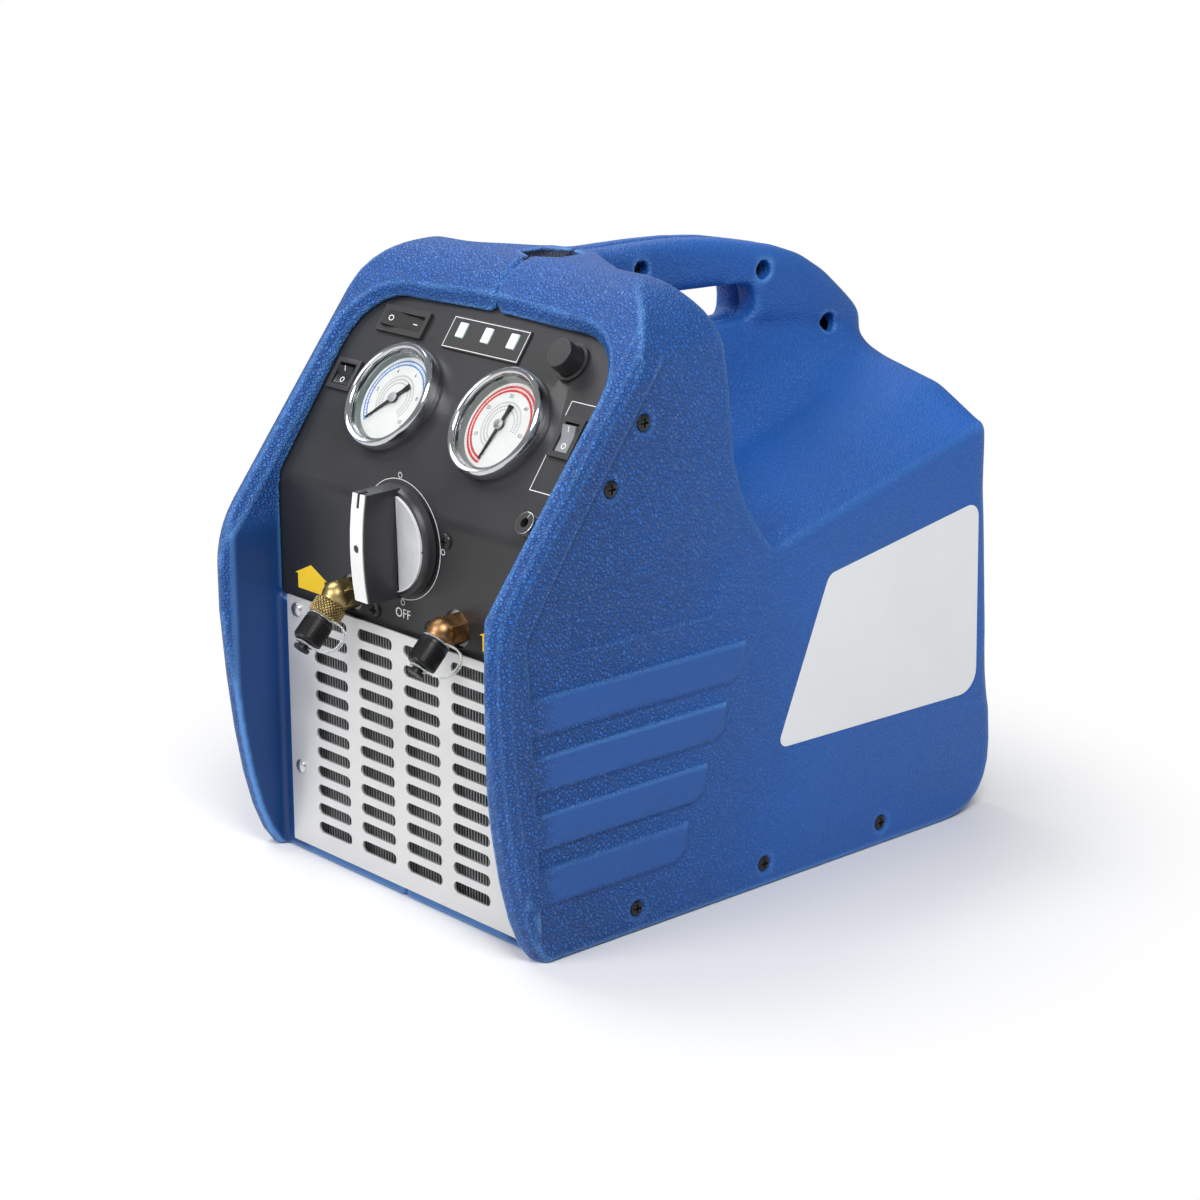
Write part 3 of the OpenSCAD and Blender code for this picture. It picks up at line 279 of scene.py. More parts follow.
def made(name, bm):
    """A mesh from a bmesh of closed shapes, its faces turned outwards."""
    bmesh.ops.recalc_face_normals(bm, faces=bm.faces)
    mesh = bpy.data.meshes.new(name)
    bm.to_mesh(mesh)
    bm.free()
    return mesh


def box_into(bm, low, high):
    """Adds a plain block between two corners."""
    corners = [bm.verts.new((x, y, z))
               for x in (low[0], high[0]) for y in (low[1], high[1]) for z in (low[2], high[2])]
    for face in ((0, 1, 3, 2), (4, 6, 7, 5), (0, 4, 5, 1), (2, 3, 7, 6), (0, 2, 6, 4), (1, 5, 7, 3)):
        bm.faces.new([corners[i] for i in face])


def swept_into(bm, path, section, side):
    """Sweeps a closed outline along a path; side is the outline's second direction."""
    rows = []
    for i, p in enumerate(path):
        along = (path[min(i + 1, len(path) - 1)] - path[max(i - 1, 0)]).normalized()
        across = side.cross(along).normalized()
        rows.append([bm.verts.new(p + across * a + side * b) for a, b in section])
    n = len(section)
    for a, b in zip(rows, rows[1:]):
        for i in range(n):
            bm.faces.new((a[i], a[(i + 1) % n], b[(i + 1) % n], b[i]))
    bm.faces.new(rows[0][::-1])
    bm.faces.new(rows[-1])


def circle(r, n, x=0.0, y=0.0):
    """An outline of n points round a place."""
    return [(x + r * math.cos(math.tau * i / n), y + r * math.sin(math.tau * i / n)) for i in range(n)]


def dark_masked_metal(name, colour, dark_tone, mask, patches, patch_scale, roughness, metallic):
    """A metal that takes a dark colour where a mask, made in its tree, is one."""
    material, tree, shader = bare_material(name)
    play = put(tree, "ShaderNodeGroup", {"Colour": (*colour, 1.0), "Patches": patches, "Patch Scale": patch_scale,
               "Roughness": roughness}, node_tree=surface_play())
    darkened = put(tree, "ShaderNodeMix", {0: mask(tree), 6: play.outputs["Colour"], 7: (*dark_tone, 1.0)}, data_type="RGBA")
    tree.links.new(darkened.outputs[2], shader.inputs["Base Color"])
    tree.links.new(play.outputs["Roughness"], shader.inputs["Roughness"])
    shader.inputs["Metallic"].default_value = metallic
    return material


fin_row, given = node_tool("fin_row", (
    ("Count", "NodeSocketInt", 100), ("Pitch", "NodeSocketFloat", 0.0017),
    ("Fin", "NodeSocketVector", (0.0004, 0.007, 0.14)), ("First", "NodeSocketVector", (0.0, 0.0, 0.0)),
    ("Material", "NodeSocketMaterial", None)))
step = put(fin_row, "ShaderNodeCombineXYZ", {"X": given["Pitch"]})
line = put(fin_row, "GeometryNodeMeshLine", {
    "Count": given["Count"], "Start Location": given["First"], "Offset": step.outputs[0]})
fin = put(fin_row, "GeometryNodeMeshCube", {"Size": given["Fin"]})
fins = put(fin_row, "GeometryNodeInstanceOnPoints", {"Points": line.outputs[0], "Instance": fin.outputs[0]})
closed_tool(fin_row, fins.outputs[0], given["Material"])

low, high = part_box("condenser_coil")
fin_front, fin_back = low[1], low[1] + 0.008


def fin_shade_mask(tree):
    """Mask of what lies back from the front edges of the fins, where they are painted in shade."""
    place = put(tree, "ShaderNodeTexCoord").outputs["Object"]
    back = put(tree, "ShaderNodeSeparateXYZ", {0: place}).outputs["Y"]
    return put(tree, "ShaderNodeMapRange", {
        "Value": back, "From Min": fin_front + 0.0002, "From Max": fin_front + 0.0011}).outputs[0]


# The fins darken back from their front edges: painted shade where the fins hide each other's sides.
fin_metal = dark_masked_metal("fin_metal", (0.42, 0.425, 0.43), (0.025, 0.025, 0.027), fin_shade_mask, 0.12, 50.0, 0.4, 0.25)
# The core behind the fins is near-black: painted shade for the depth of the coil.
painted_shade_core = finish_of("painted_shade_core", (0.02, 0.02, 0.022), 0.7, 0.3)
coil_half, fin_pitch, fin_thick = 0.0855, 0.0024, 0.0007
count = int((2 * coil_half) / fin_pitch)
mesh = grown("condenser_fins", fin_row, {
    "Count": count, "Pitch": fin_pitch, "Fin": (fin_thick, fin_back - fin_front, high[2] - low[2] - 0.004),
    "First": (-0.5 * fin_pitch * (count - 1), (fin_front + fin_back) / 2, (low[2] + high[2]) / 2), "Material": fin_metal})
settled("condenser_fins", mesh, "machine", "condenser_coil")
bm = bmesh.new()
box_into(bm, (-0.0858, fin_back - 0.001, low[2]), (0.0858, high[1], high[2]))
settled("condenser_core", made("condenser_core", bm), "machine", slot=slot_of["condenser_coil"], material=painted_shade_core)
bend_r, tube_r = 0.0085, 0.0015
bm = bmesh.new()
for side in (-1, 1):
    for i in range(6):
        mid = Vector((side * coil_half, (fin_back + high[1]) / 2, low[2] + 0.014 + 0.0235 * i))
        bend = [mid + bend_r * Vector((side * math.sin(t), 0.0, -math.cos(t))) for t in np.linspace(0, math.pi, 13)]
        swept_into(bm, bend, circle(tube_r, 10), Vector((0, 1, 0)))
settled("condenser_bends", made("condenser_bends", bm), "machine", slot=slot_of["suction_line"], material=copper_tube)


# Housing halves: injection-moulded blue plastic with a pebbled grain and soft edges.
# Each is skinned over its solid with every edge rounded, and softest on roof and handle.
# The bands of ribs low on the sides are smooth.
VOXEL = 0.0016
edge_round = 0.0008
grip_screws = ((0.011, 0.335), (0.106, 0.325), (0.159, 0.288))
pocket_y, pocket_half = -0.042, 0.015


def blurred(field, sigma):
    """A field of cells, softened along each axis by a Gaussian."""
    reach = int(3 * sigma / VOXEL) + 1
    weights = np.exp(-0.5 * (np.arange(-reach, reach + 1) * VOXEL / sigma) ** 2)
    weights /= weights.sum()
    for axis in range(3):
        pad = [(reach, reach) if a == axis else (0, 0) for a in range(3)]
        wide = np.pad(field, pad, mode="edge")
        total = np.zeros_like(field)
        for i, w in enumerate(weights):
            cut = [slice(None)] * 3
            cut[axis] = slice(i, i + field.shape[axis])
            total += w * wide[tuple(cut)]
        field = total
    return field


def sampled(field, at):
    """Trilinear reading of a field at points given in cells."""
    low = np.clip(np.floor(at).astype(int), 0, np.array(field.shape) - 2)
    t = at - low
    total = np.zeros(len(at))
    for corner in range(8):
        step = np.array([corner & 1, corner >> 1 & 1, corner >> 2 & 1])
        part = np.prod(np.where(step, t, 1 - t), axis=1)
        cell = low + step
        total += part * field[cell[:, 0], cell[:, 1], cell[:, 2]]
    return total


def moulding(node, side):
    """The skin of a housing half: rounded edges, calm roof, a groove along the seam.

    It carries two attributes: edge, high on ridges and low in hollows and along the seam, which the material turns into
    painted highlight and painted shade, and band, one on the ribs.
    """
    mesh = nodes[node].data
    mesh.calc_loop_triangles()
    co = np.empty(len(mesh.vertices) * 3, np.float32)
    mesh.vertices.foreach_get("co", co)
    tri = np.empty(len(mesh.loop_triangles) * 3, np.int32)
    mesh.loop_triangles.foreach_get("vertices", tri)
    points, same = np.unique(np.round(co.reshape(-1, 3), 6), axis=0, return_inverse=True)
    faces = same.reshape(-1)[tri].reshape(-1, 3).astype(np.uint32)
    spacing = openvdb.createLinearTransform(voxelSize=VOXEL)
    grid = openvdb.FloatGrid.createLevelSetFromPolygons(
        points.astype(np.float32), triangles=faces, transform=spacing, halfWidth=5.0)
    low = np.floor(points.min(0) / VOXEL).astype(int) - 8
    field = np.empty(np.ceil(points.max(0) / VOXEL).astype(int) + 8 - low, np.float32)
    grid.copyToArray(field, ijk=tuple(int(i) for i in low))
    field = blurred(field, edge_round)
    soft = openvdb.FloatGrid(5 * VOXEL)
    soft.transform = spacing
    soft.copyFromArray(field, ijk=tuple(int(i) for i in low))
    v, quads = soft.convertToQuads(0.0)
    v, quads = v.astype(float), quads.astype(np.int64)
    ends = np.concatenate([quads[:, [i, (i + 1) % 4]] for i in range(4)])
    ends = np.unique(np.sort(ends, axis=1), axis=0)
    count = np.bincount(ends.ravel(), minlength=len(v))[:, None]

    def relaxed(p):
        """The middle of each point's neighbours."""
        a, b = ends.T
        total = [np.bincount(a, p[b, k], len(p)) + np.bincount(b, p[a, k], len(p)) for k in range(3)]
        return np.stack(total, axis=1) / count

    slope = np.gradient(field, VOXEL)
    for _ in range(3):
        v = 0.5 * v + 0.5 * relaxed(v)
        for _ in range(2):
            at = v / VOXEL - low
            g = np.stack([sampled(s, at) for s in slope], axis=1)
            v -= g * (sampled(field, at) / np.maximum((g * g).sum(1), 0.2))[:, None]
    first = v.copy()
    away = np.min([np.hypot(v[:, 1] - y, v[:, 2] - z) for y, z in grip_screws], axis=0)
    mask = np.clip((v[:, 1] + 0.075) / 0.03, 0, 1) * np.clip((v[:, 2] - 0.182) / 0.02, 0, 1)
    mask *= np.clip((away - 0.0075) / 0.006, 0, 1)
    pocket = np.max([np.abs(v[:, 0]) - pocket_half, np.abs(v[:, 1] - pocket_y) - pocket_half, 0.344 - v[:, 2]], axis=0)
    mask *= np.clip((pocket - 0.002) / 0.006, 0, 1)
    for _ in range(18):
        v += 0.6 * mask[:, None] * (relaxed(v) - v)
    v[:, 0] = np.where(np.abs(first[:, 0]) < 0.0012, first[:, 0], v[:, 0])
    v[:, 0] = np.maximum(v[:, 0], 0.0) if side > 0 else np.minimum(v[:, 0], 0.0)
    v[:, 2] = np.maximum(v[:, 2], 0.0)
    calm = v.copy()
    for _ in range(5):
        calm = 0.4 * calm + 0.6 * relaxed(calm)
    a, b = v[quads[:, 2]] - v[quads[:, 0]], v[quads[:, 3]] - v[quads[:, 1]]
    area = np.cross(a, b)
    if (area * v[quads].mean(1)).sum() < 0:
        quads, area = quads[:, ::-1], -area
    normal = np.stack([np.bincount(quads.ravel(), np.repeat(area[:, k], 4), len(v)) for k in range(3)], axis=1)
    normal /= np.maximum(np.linalg.norm(normal, axis=1), 1e-12)[:, None]
    edge = ((v - calm) * normal).sum(1) / VOXEL
    ribs = (np.abs(v[:, 0]) > 0.118) & (v[:, 1] > -0.155) & (v[:, 1] < 0.01) & (v[:, 2] > 0.03) & (v[:, 2] < 0.155)
    # On the ribs, ridges facing up and hollows facing down weigh most: light from above, painted as a highlight on the
    # upper edges and shade under them.
    lit = np.where(edge > 0, 0.25 + 3.2 * np.maximum(normal[:, 2], 0), 0.3 + 3.2 * np.maximum(-normal[:, 2], 0))
    edge = np.where(ribs, edge * lit, edge)
    flat = normal * (0.0, 1.0, 1.0)
    size = np.linalg.norm(flat, axis=1)
    seam = np.clip(1 - np.abs(v[:, 0]) / 0.0034, 0, 1) ** 1.5 * (size > 0.3)
    v -= flat * (0.0010 * seam / np.maximum(size, 0.3))[:, None]
    shell = bpy.data.meshes.new(node + "_moulding")
    shell.from_pydata(v.tolist(), [], quads.tolist())
    # The seam lowers the edge value, so the seam groove takes painted shade.
    shell.attributes.new("edge", "FLOAT", "POINT").data.foreach_set("value", (edge - 0.45 * seam).astype(np.float32))
    band = ribs * np.clip((np.abs(v[:, 0]) - 0.1252) / 0.0009, 0, 0.85)
    shell.attributes.new("band", "FLOAT", "POINT").data.foreach_set("value", band.astype(np.float32))
    shell.polygons.foreach_set("use_smooth", [True] * len(shell.polygons))
    holder = bpy.data.objects.new("thinned", shell)
    scene.collection.objects.link(holder)
    thin = holder.modifiers.new("thin", "DECIMATE")
    thin.ratio = min(1.0, 186000 / (2 * len(quads)))
    done = bpy.data.meshes.new_from_object(holder.evaluated_get(bpy.context.evaluated_depsgraph_get()))
    bpy.data.objects.remove(holder)
    done.name = node + "_moulding"
    return done


def pebble_grain():
    """Node group: the etched grain of a mould, with its height, and painted shade that darkens its furrows."""
    group = bpy.data.node_groups.new("pebble_grain", "ShaderNodeTree")
    for label, value in (("Scale", 600.0), ("Crease Shade", 0.3)):
        group.interface.new_socket(label, in_out="INPUT", socket_type="NodeSocketFloat").default_value = value
    group.interface.new_socket("Height", in_out="OUTPUT", socket_type="NodeSocketFloat")
    group.interface.new_socket("Shade", in_out="OUTPUT", socket_type="NodeSocketFloat")
    given = put(group, "NodeGroupInput").outputs
    place = put(group, "ShaderNodeTexCoord").outputs["Object"]
    sway = put(group, "ShaderNodeTexNoise", {"Vector": place, "Scale": 260.0, "Detail": 1.0}).outputs["Color"]
    bent = put(group, "ShaderNodeVectorMath", {0: sway, 1: (0.0022, 0.0022, 0.0022), 2: place},
               operation="MULTIPLY_ADD")
    cells = put(group, "ShaderNodeTexVoronoi", {"Vector": bent.outputs[0], "Scale": given["Scale"]},
                feature="DISTANCE_TO_EDGE")
    dome = put(group, "ShaderNodeMapRange", {"Value": cells.outputs["Distance"], "From Max": 0.3},
               interpolation_type="SMOOTHSTEP")
    deep = put(group, "ShaderNodeMath", {0: dome.outputs[0], 1: given["Crease Shade"], 2: 1.0}, operation="MULTIPLY_ADD")
    shade = put(group, "ShaderNodeMath", {0: deep.outputs[0], 1: given["Crease Shade"]}, operation="SUBTRACT")
    put(group, "NodeGroupOutput", {"Height": dome.outputs[0], "Shade": shade.outputs[0]})
    return group


def blue_plastic():
    """Blue moulding with grain outside and smooth ribs; painted highlight on its edges, painted shade in its hollows,
    grain furrows, front recess and crown pocket.
    """
    material, tree, shader = bare_material("blue_plastic")
    place = put(tree, "ShaderNodeTexCoord").outputs["Object"]
    play = put(tree, "ShaderNodeGroup", {"Colour": (0.0115, 0.108, 0.43, 1.0), "Patches": 0.07, "Patch Scale": 14.0,
               "Roughness": 0.46, "Gloss Play": 0.05, "Grain Scale": 1500.0}, node_tree=surface_play())
    part = put(tree, "ShaderNodeSeparateXYZ", {0: place}).outputs
    ahead = put(tree, "ShaderNodeMapRange", {
        "Value": part["Y"], "From Min": 0.05, "From Max": -0.12, "To Min": 0.3, "To Max": 1.0})
    wide = put(tree, "ShaderNodeMath", {0: part["X"]}, operation="ABSOLUTE")
    inside = put(tree, "ShaderNodeMapRange", {"Value": wide.outputs[0], "From Min": 0.1108, "From Max": 0.1130})
    upper = put(tree, "ShaderNodeMapRange", {"Value": part["Z"], "From Min": 0.19, "From Max": 0.21})
    outer = put(tree, "ShaderNodeMath", {0: inside.outputs[0], 1: upper.outputs[0]}, operation="MAXIMUM")
    amount = put(tree, "ShaderNodeMath", {0: ahead.outputs[0], 1: outer.outputs[0]}, operation="MULTIPLY").outputs[0]
    band = put(tree, "ShaderNodeAttribute", attribute_name="band").outputs["Fac"]
    amount = put(tree, "ShaderNodeMapRange", {"Value": band, "To Min": amount, "To Max": 0.0}).outputs[0]
    # Painted shade in the grain's furrows, strongest where the grain is fullest.
    crease_shade = put(tree, "ShaderNodeMath", {0: amount, 1: 0.55}, operation="MULTIPLY")
    grain = put(tree, "ShaderNodeGroup", {"Scale": 450.0, "Crease Shade": crease_shade.outputs[0]}, node_tree=pebble_grain())
    sleek = put(tree, "ShaderNodeMapRange", {"Value": band, "To Min": 1.0, "To Max": 0.68})
    # Painted shade: within the sides and below 0.19 m, which takes in the inner walls of the front recess, the colour
    # drops to 0.38.
    plain = put(tree, "ShaderNodeMapRange", {"Value": outer.outputs[0], "To Min": 0.38, "To Max": sleek.outputs[0]})
    shade = put(tree, "ShaderNodeMath", {0: grain.outputs["Shade"], 1: plain.outputs[0]}, operation="MULTIPLY")
    toned = put(tree, "ShaderNodeHueSaturation", {"Color": play.outputs["Colour"], "Value": shade.outputs[0]})
    edge = put(tree, "ShaderNodeAttribute", attribute_name="edge").outputs["Fac"]
    # Painted highlight: convex edges are lifted towards pale blue, as where light catches them.
    edge_highlight = put(tree, "ShaderNodeMapRange", {"Value": edge, "From Min": 0.05, "From Max": 0.35, "To Max": 0.7})
    colour = put(tree, "ShaderNodeMix", {0: edge_highlight.outputs[0], 6: toned.outputs[0], 7: (0.11, 0.31, 0.7, 1.0)},
                 data_type="RGBA")
    # Painted shade: hollows, and the seam, are taken towards dark navy.
    hollow_shade = put(tree, "ShaderNodeMapRange", {"Value": edge, "From Min": -0.05, "From Max": -0.4, "To Max": 0.55})
    colour = put(tree, "ShaderNodeMix", {0: hollow_shade.outputs[0], 6: colour.outputs[2], 7: (0.003, 0.02, 0.09, 1.0)},
                 data_type="RGBA")
    # Painted shade in the pocket on the crown: below its rim and within its reach the colour goes nearly black.
    deep = put(tree, "ShaderNodeMapRange", {"Value": part["Z"], "From Min": 0.3494, "From Max": 0.3478}).outputs[0]
    away = put(tree, "ShaderNodeVectorMath", {0: place, 1: (0.0, pocket_y, 0.347)}, operation="DISTANCE").outputs["Value"]
    near = put(tree, "ShaderNodeMapRange", {"Value": away, "From Min": 0.0205, "From Max": 0.0185}).outputs[0]
    pocket = put(tree, "ShaderNodeMath", {0: deep, 1: near}, operation="MULTIPLY")
    colour = put(tree, "ShaderNodeMix", {0: pocket.outputs[0], 6: colour.outputs[2], 7: (0.001, 0.006, 0.03, 1.0)},
                 data_type="RGBA")
    tree.links.new(colour.outputs[2], shader.inputs["Base Color"])
    tree.links.new(play.outputs["Roughness"], shader.inputs["Roughness"])
    shader.inputs["Specular IOR Level"].default_value = 0.42
    raised = put(tree, "ShaderNodeMath", {0: grain.outputs["Height"], 1: amount}, operation="MULTIPLY")
    bump = put(tree, "ShaderNodeBump", {"Height": raised.outputs[0], "Strength": 1.0, "Distance": 0.0008})
    tree.links.new(bump.outputs[0], shader.inputs["Normal"])
    return material


housing_blue = blue_plastic()
for node, side in (("left_housing", -1), ("right_housing", 1)):
    shell = bpy.data.objects.new(node + "_moulding", moulding(node, side))
    scene.collection.objects.link(shell)
    shell.data.materials.append(housing_blue)
    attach(shell, "machine")
    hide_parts(node)


# Control panel: sheet metal bent once, powder-coated black with fine white printing.
# It lies behind the lip of the opening; rings, frames and the word OFF are printed on it.
RAKE = math.radians(35.0)
PANEL_Y, BEND_Z = -0.1496, 0.222


def on_rake(x, s, n=0.0):
    """Frame on the raked face: across, up the face, out of it."""
    a, b = math.sin(RAKE), math.cos(RAKE)
    y, z = PANEL_Y + s * a - n * b, BEND_Z + s * b + n * a
    return Matrix(((1, 0, 0, x), (0, a, -b, y), (0, b, a, z), (0, 0, 0, 1)))


def on_front(x, z, n=0.0):
    """Frame on the upright face below the bend."""
    return Matrix(((1, 0, 0, x), (0, 0, -1, PANEL_Y - n), (0, 1, 0, z), (0, 0, 0, 1)))


def merged(node):
    """A closed copy of a CAD node's mesh with its flat areas joined."""
    bm = bmesh.new()
    bm.from_mesh(nodes[node].data)
    bmesh.ops.remove_doubles(bm, verts=bm.verts, dist=2e-6)
    bmesh.ops.dissolve_limit(bm, angle_limit=math.radians(0.8), verts=bm.verts, edges=bm.edges)
    return bm


def eased(mesh, edge, segments=2, angle=32.0, smooth=30.0):
    """The mesh with its sharp edges broken by a small bevel, its flat faces shaded flat."""
    holder = bpy.data.objects.new("eased", mesh)
    scene.collection.objects.link(holder)
    bevel = holder.modifiers.new("edge", "BEVEL")
    bevel.width = edge
    bevel.segments = segments
    bevel.limit_method = "ANGLE"
    bevel.angle_limit = math.radians(angle)
    done = bpy.data.meshes.new_from_object(holder.evaluated_get(bpy.context.evaluated_depsgraph_get()))
    done.polygons.foreach_set("use_smooth", [True] * len(done.polygons))
    done.set_sharp_from_angle(angle=math.radians(smooth))
    holder.modifiers.remove(bevel)
    holder.data = done
    even = holder.modifiers.new("even", "WEIGHTED_NORMAL")
    even.keep_sharp = True
    done = bpy.data.meshes.new_from_object(holder.evaluated_get(bpy.context.evaluated_depsgraph_get()))
    bpy.data.objects.remove(holder)
    return done


def refined(node, material, edge=0.0004, segments=2, smooth=30.0):
    """A CAD node's shape with eased edges, in its own place."""
    bm = merged(node)
    mesh = bpy.data.meshes.new(node + "_finish")
    bm.to_mesh(mesh)
    bm.free()
    done = eased(mesh, edge, segments, smooth=smooth)
    return settled(node + "_finish", done, nodes[node]["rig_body"], node, material=material, smooth=smooth)


def prism_into(bm, outline, low, high, place=Matrix()):
    """Adds a closed plate over an outline."""
    a = [bm.verts.new(place @ Vector((x, y, low))) for x, y in outline]
    b = [bm.verts.new(place @ Vector((x, y, high))) for x, y in outline]
    bm.faces.new(a[::-1])
    bm.faces.new(b)
    for i in range(len(a)):
        j = (i + 1) % len(a)
        bm.faces.new((a[i], a[j], b[j], b[i]))


def frame_into(bm, outer, inner, low, high, place=Matrix()):
    """Adds a closed frame between two outlines with as many points."""
    rows = [[bm.verts.new(place @ Vector((x, y, h))) for x, y in line]
            for line, h in ((outer, low), (outer, high), (inner, high), (inner, low))]
    for a, b in zip(rows, rows[1:] + rows[:1]):
        for i in range(len(a)):
            j = (i + 1) % len(a)
            bm.faces.new((a[i], a[j], b[j], b[i]))


def rectangle(w, h):
    """An outline round the middle."""
    return [(-w / 2, -h / 2), (w / 2, -h / 2), (w / 2, h / 2), (-w / 2, h / 2)]


def words_into(bm, words, size, place):
    """Adds plain raised print, centred on a frame."""
    curve = bpy.data.curves.new("print", "FONT")
    curve.body, curve.size, curve.extrude, curve.resolution_u = words, size, 0.00003, 3
    curve.align_x, curve.align_y = "CENTER", "CENTER"
    holder = bpy.data.objects.new("print", curve)
    scene.collection.objects.link(holder)
    flat = bpy.data.meshes.new_from_object(holder.evaluated_get(bpy.context.evaluated_depsgraph_get()))
    bpy.data.objects.remove(holder)
    flat.transform(place)
    bm.from_mesh(flat)
    bpy.data.meshes.remove(flat)


panel_coat = finish_of("panel_coat", (0.016, 0.016, 0.0175), 0.4, 0.0, 0.12, 25.0, 0.05, 1600.0, 0.00008, 0.35)
white_ink = finish_of("white_ink", (0.72, 0.72, 0.72), 0.55, patches=0.05)
refined("control_panel", panel_coat, 0.0003)

LOW_INK, HIGH_INK = -0.00006, 0.00006
KNOB_Z = 0.206
bm = bmesh.new()
ring = on_front(0.0, KNOB_Z)
frame_into(bm, circle(0.0335, 96), circle(0.0331, 96), LOW_INK, HIGH_INK, ring)
for t in (0.0, 90.0, 180.0, 270.0):
    x, y = 0.0355 * math.cos(math.radians(t)), 0.0355 * math.sin(math.radians(t))
    frame_into(bm, circle(0.0017, 20, x, y), circle(0.0013, 20, x, y), LOW_INK, HIGH_INK, ring)
words_into(bm, "OFF", 0.0076, on_front(0.0, 0.1640))
mode_frame = on_rake(0.0975, 0.056)
frame_into(bm, rectangle(0.0232, 0.052), rectangle(0.0224, 0.0512), LOW_INK, HIGH_INK, mode_frame)
settled("panel_print", made("panel_print", bm), "machine", slot="label_white", material=white_ink)


# Grille plate: pale aluminium sheet, punched with twelve rows of four round-ended slots.
# Four slotted screws hold it to the ledges of the housing in front of the condenser.
slot_sheet, given = node_tool("slot_sheet", (
    ("Width", "NodeSocketFloat", 0.203), ("Height", "NodeSocketFloat", 0.148), ("Thickness", "NodeSocketFloat", 0.0015),
    ("Columns", "NodeSocketInt", 4), ("Rows", "NodeSocketInt", 12),
    ("Spacing", "NodeSocketVector", (0.0408, 0.01137, 0.0)),
    ("Slot Length", "NodeSocketFloat", 0.031), ("Slot Height", "NodeSocketFloat", 0.0066),
    ("First", "NodeSocketVector", (0.0, 0.0, 0.0)), ("Material", "NodeSocketMaterial", None)))
sheet_edge = put(slot_sheet, "GeometryNodeCurvePrimitiveQuadrilateral", {
    "Width": given["Width"], "Height": given["Height"]})
radius = put(slot_sheet, "ShaderNodeMath", {0: given["Slot Height"], 1: 0.4999}, operation="MULTIPLY")
slot_box = put(slot_sheet, "GeometryNodeCurvePrimitiveQuadrilateral", {
    "Width": given["Slot Length"], "Height": given["Slot Height"]})
slot_edge = put(slot_sheet, "GeometryNodeFilletCurve", {
    "Curve": slot_box.outputs[0], "Radius": radius.outputs[0], "Count": 6}, mode="POLY")
cols1 = put(slot_sheet, "ShaderNodeMath", {0: given["Columns"], 1: 1.0}, operation="SUBTRACT")
rows1 = put(slot_sheet, "ShaderNodeMath", {0: given["Rows"], 1: 1.0}, operation="SUBTRACT")
gap = put(slot_sheet, "ShaderNodeSeparateXYZ", {0: given["Spacing"]})
wide = put(slot_sheet, "ShaderNodeMath", {0: cols1.outputs[0], 1: gap.outputs[0]}, operation="MULTIPLY")
tall = put(slot_sheet, "ShaderNodeMath", {0: rows1.outputs[0], 1: gap.outputs[1]}, operation="MULTIPLY")
grid = put(slot_sheet, "GeometryNodeMeshGrid", {
    "Size X": wide.outputs[0], "Size Y": tall.outputs[0], "Vertices X": given["Columns"], "Vertices Y": given["Rows"]})
grid_at = put(slot_sheet, "GeometryNodeTransform", {"Geometry": grid.outputs[0], "Translation": given["First"]})
slots = put(slot_sheet, "GeometryNodeInstanceOnPoints", {"Points": grid_at.outputs[0], "Instance": slot_edge.outputs[0]})
loose = put(slot_sheet, "GeometryNodeRealizeInstances", {"Geometry": slots.outputs[0]})
edges = put(slot_sheet, "GeometryNodeJoinGeometry")
for source in (loose, sheet_edge):
    slot_sheet.links.new(source.outputs[0], edges.inputs[0])
face = put(slot_sheet, "GeometryNodeFillCurve", {"Curve": edges.outputs[0]})
raised = put(slot_sheet, "GeometryNodeExtrudeMesh", {
    "Mesh": face.outputs[0], "Offset Scale": given["Thickness"], "Individual": False})
under = put(slot_sheet, "GeometryNodeFlipFaces", {"Mesh": face.outputs[0]})
whole = put(slot_sheet, "GeometryNodeJoinGeometry")
for source in (raised, under):
    slot_sheet.links.new(source.outputs[0], whole.inputs[0])
sealed = put(slot_sheet, "GeometryNodeMergeByDistance", {"Geometry": whole.outputs[0], "Distance": 0.000005})
closed_tool(slot_sheet, sealed.outputs[0], given["Material"])

grille_silver = finish_of("grille_silver", (0.66, 0.655, 0.65), 0.4, 0.55, 0.05, 30.0, 0.06, 2200.0, 0.00002, 0.25)
low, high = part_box("grille_plate")
middle = (low[2] + high[2]) / 2
slot_rows, row_pitch, top_row_z = 12, 0.01137, 0.1456
mesh = grown("grille_sheet", slot_sheet, {
    "Width": high[0] - low[0], "Height": high[2] - low[2], "Thickness": high[1] - low[1], "Columns": 4, "Rows": slot_rows,
    "Spacing": (0.0408, row_pitch, 0.0), "Slot Length": 0.031, "Slot Height": 0.0066,
    "First": (0.0, top_row_z - (slot_rows - 1) / 2 * row_pitch - middle, 0.0), "Material": grille_silver})
mesh.transform(Matrix(((1, 0, 0, 0), (0, 0, -1, high[1]), (0, 1, 0, middle), (0, 0, 0, 1))))
bm = bmesh.new()
bm.from_mesh(mesh)
bmesh.ops.dissolve_limit(bm, angle_limit=math.radians(0.5), verts=bm.verts, edges=bm.edges)
bm.to_mesh(mesh)
bm.free()
settled("grille_sheet", eased(mesh, 0.0002, 1, 60.0), "machine", "grille_plate")


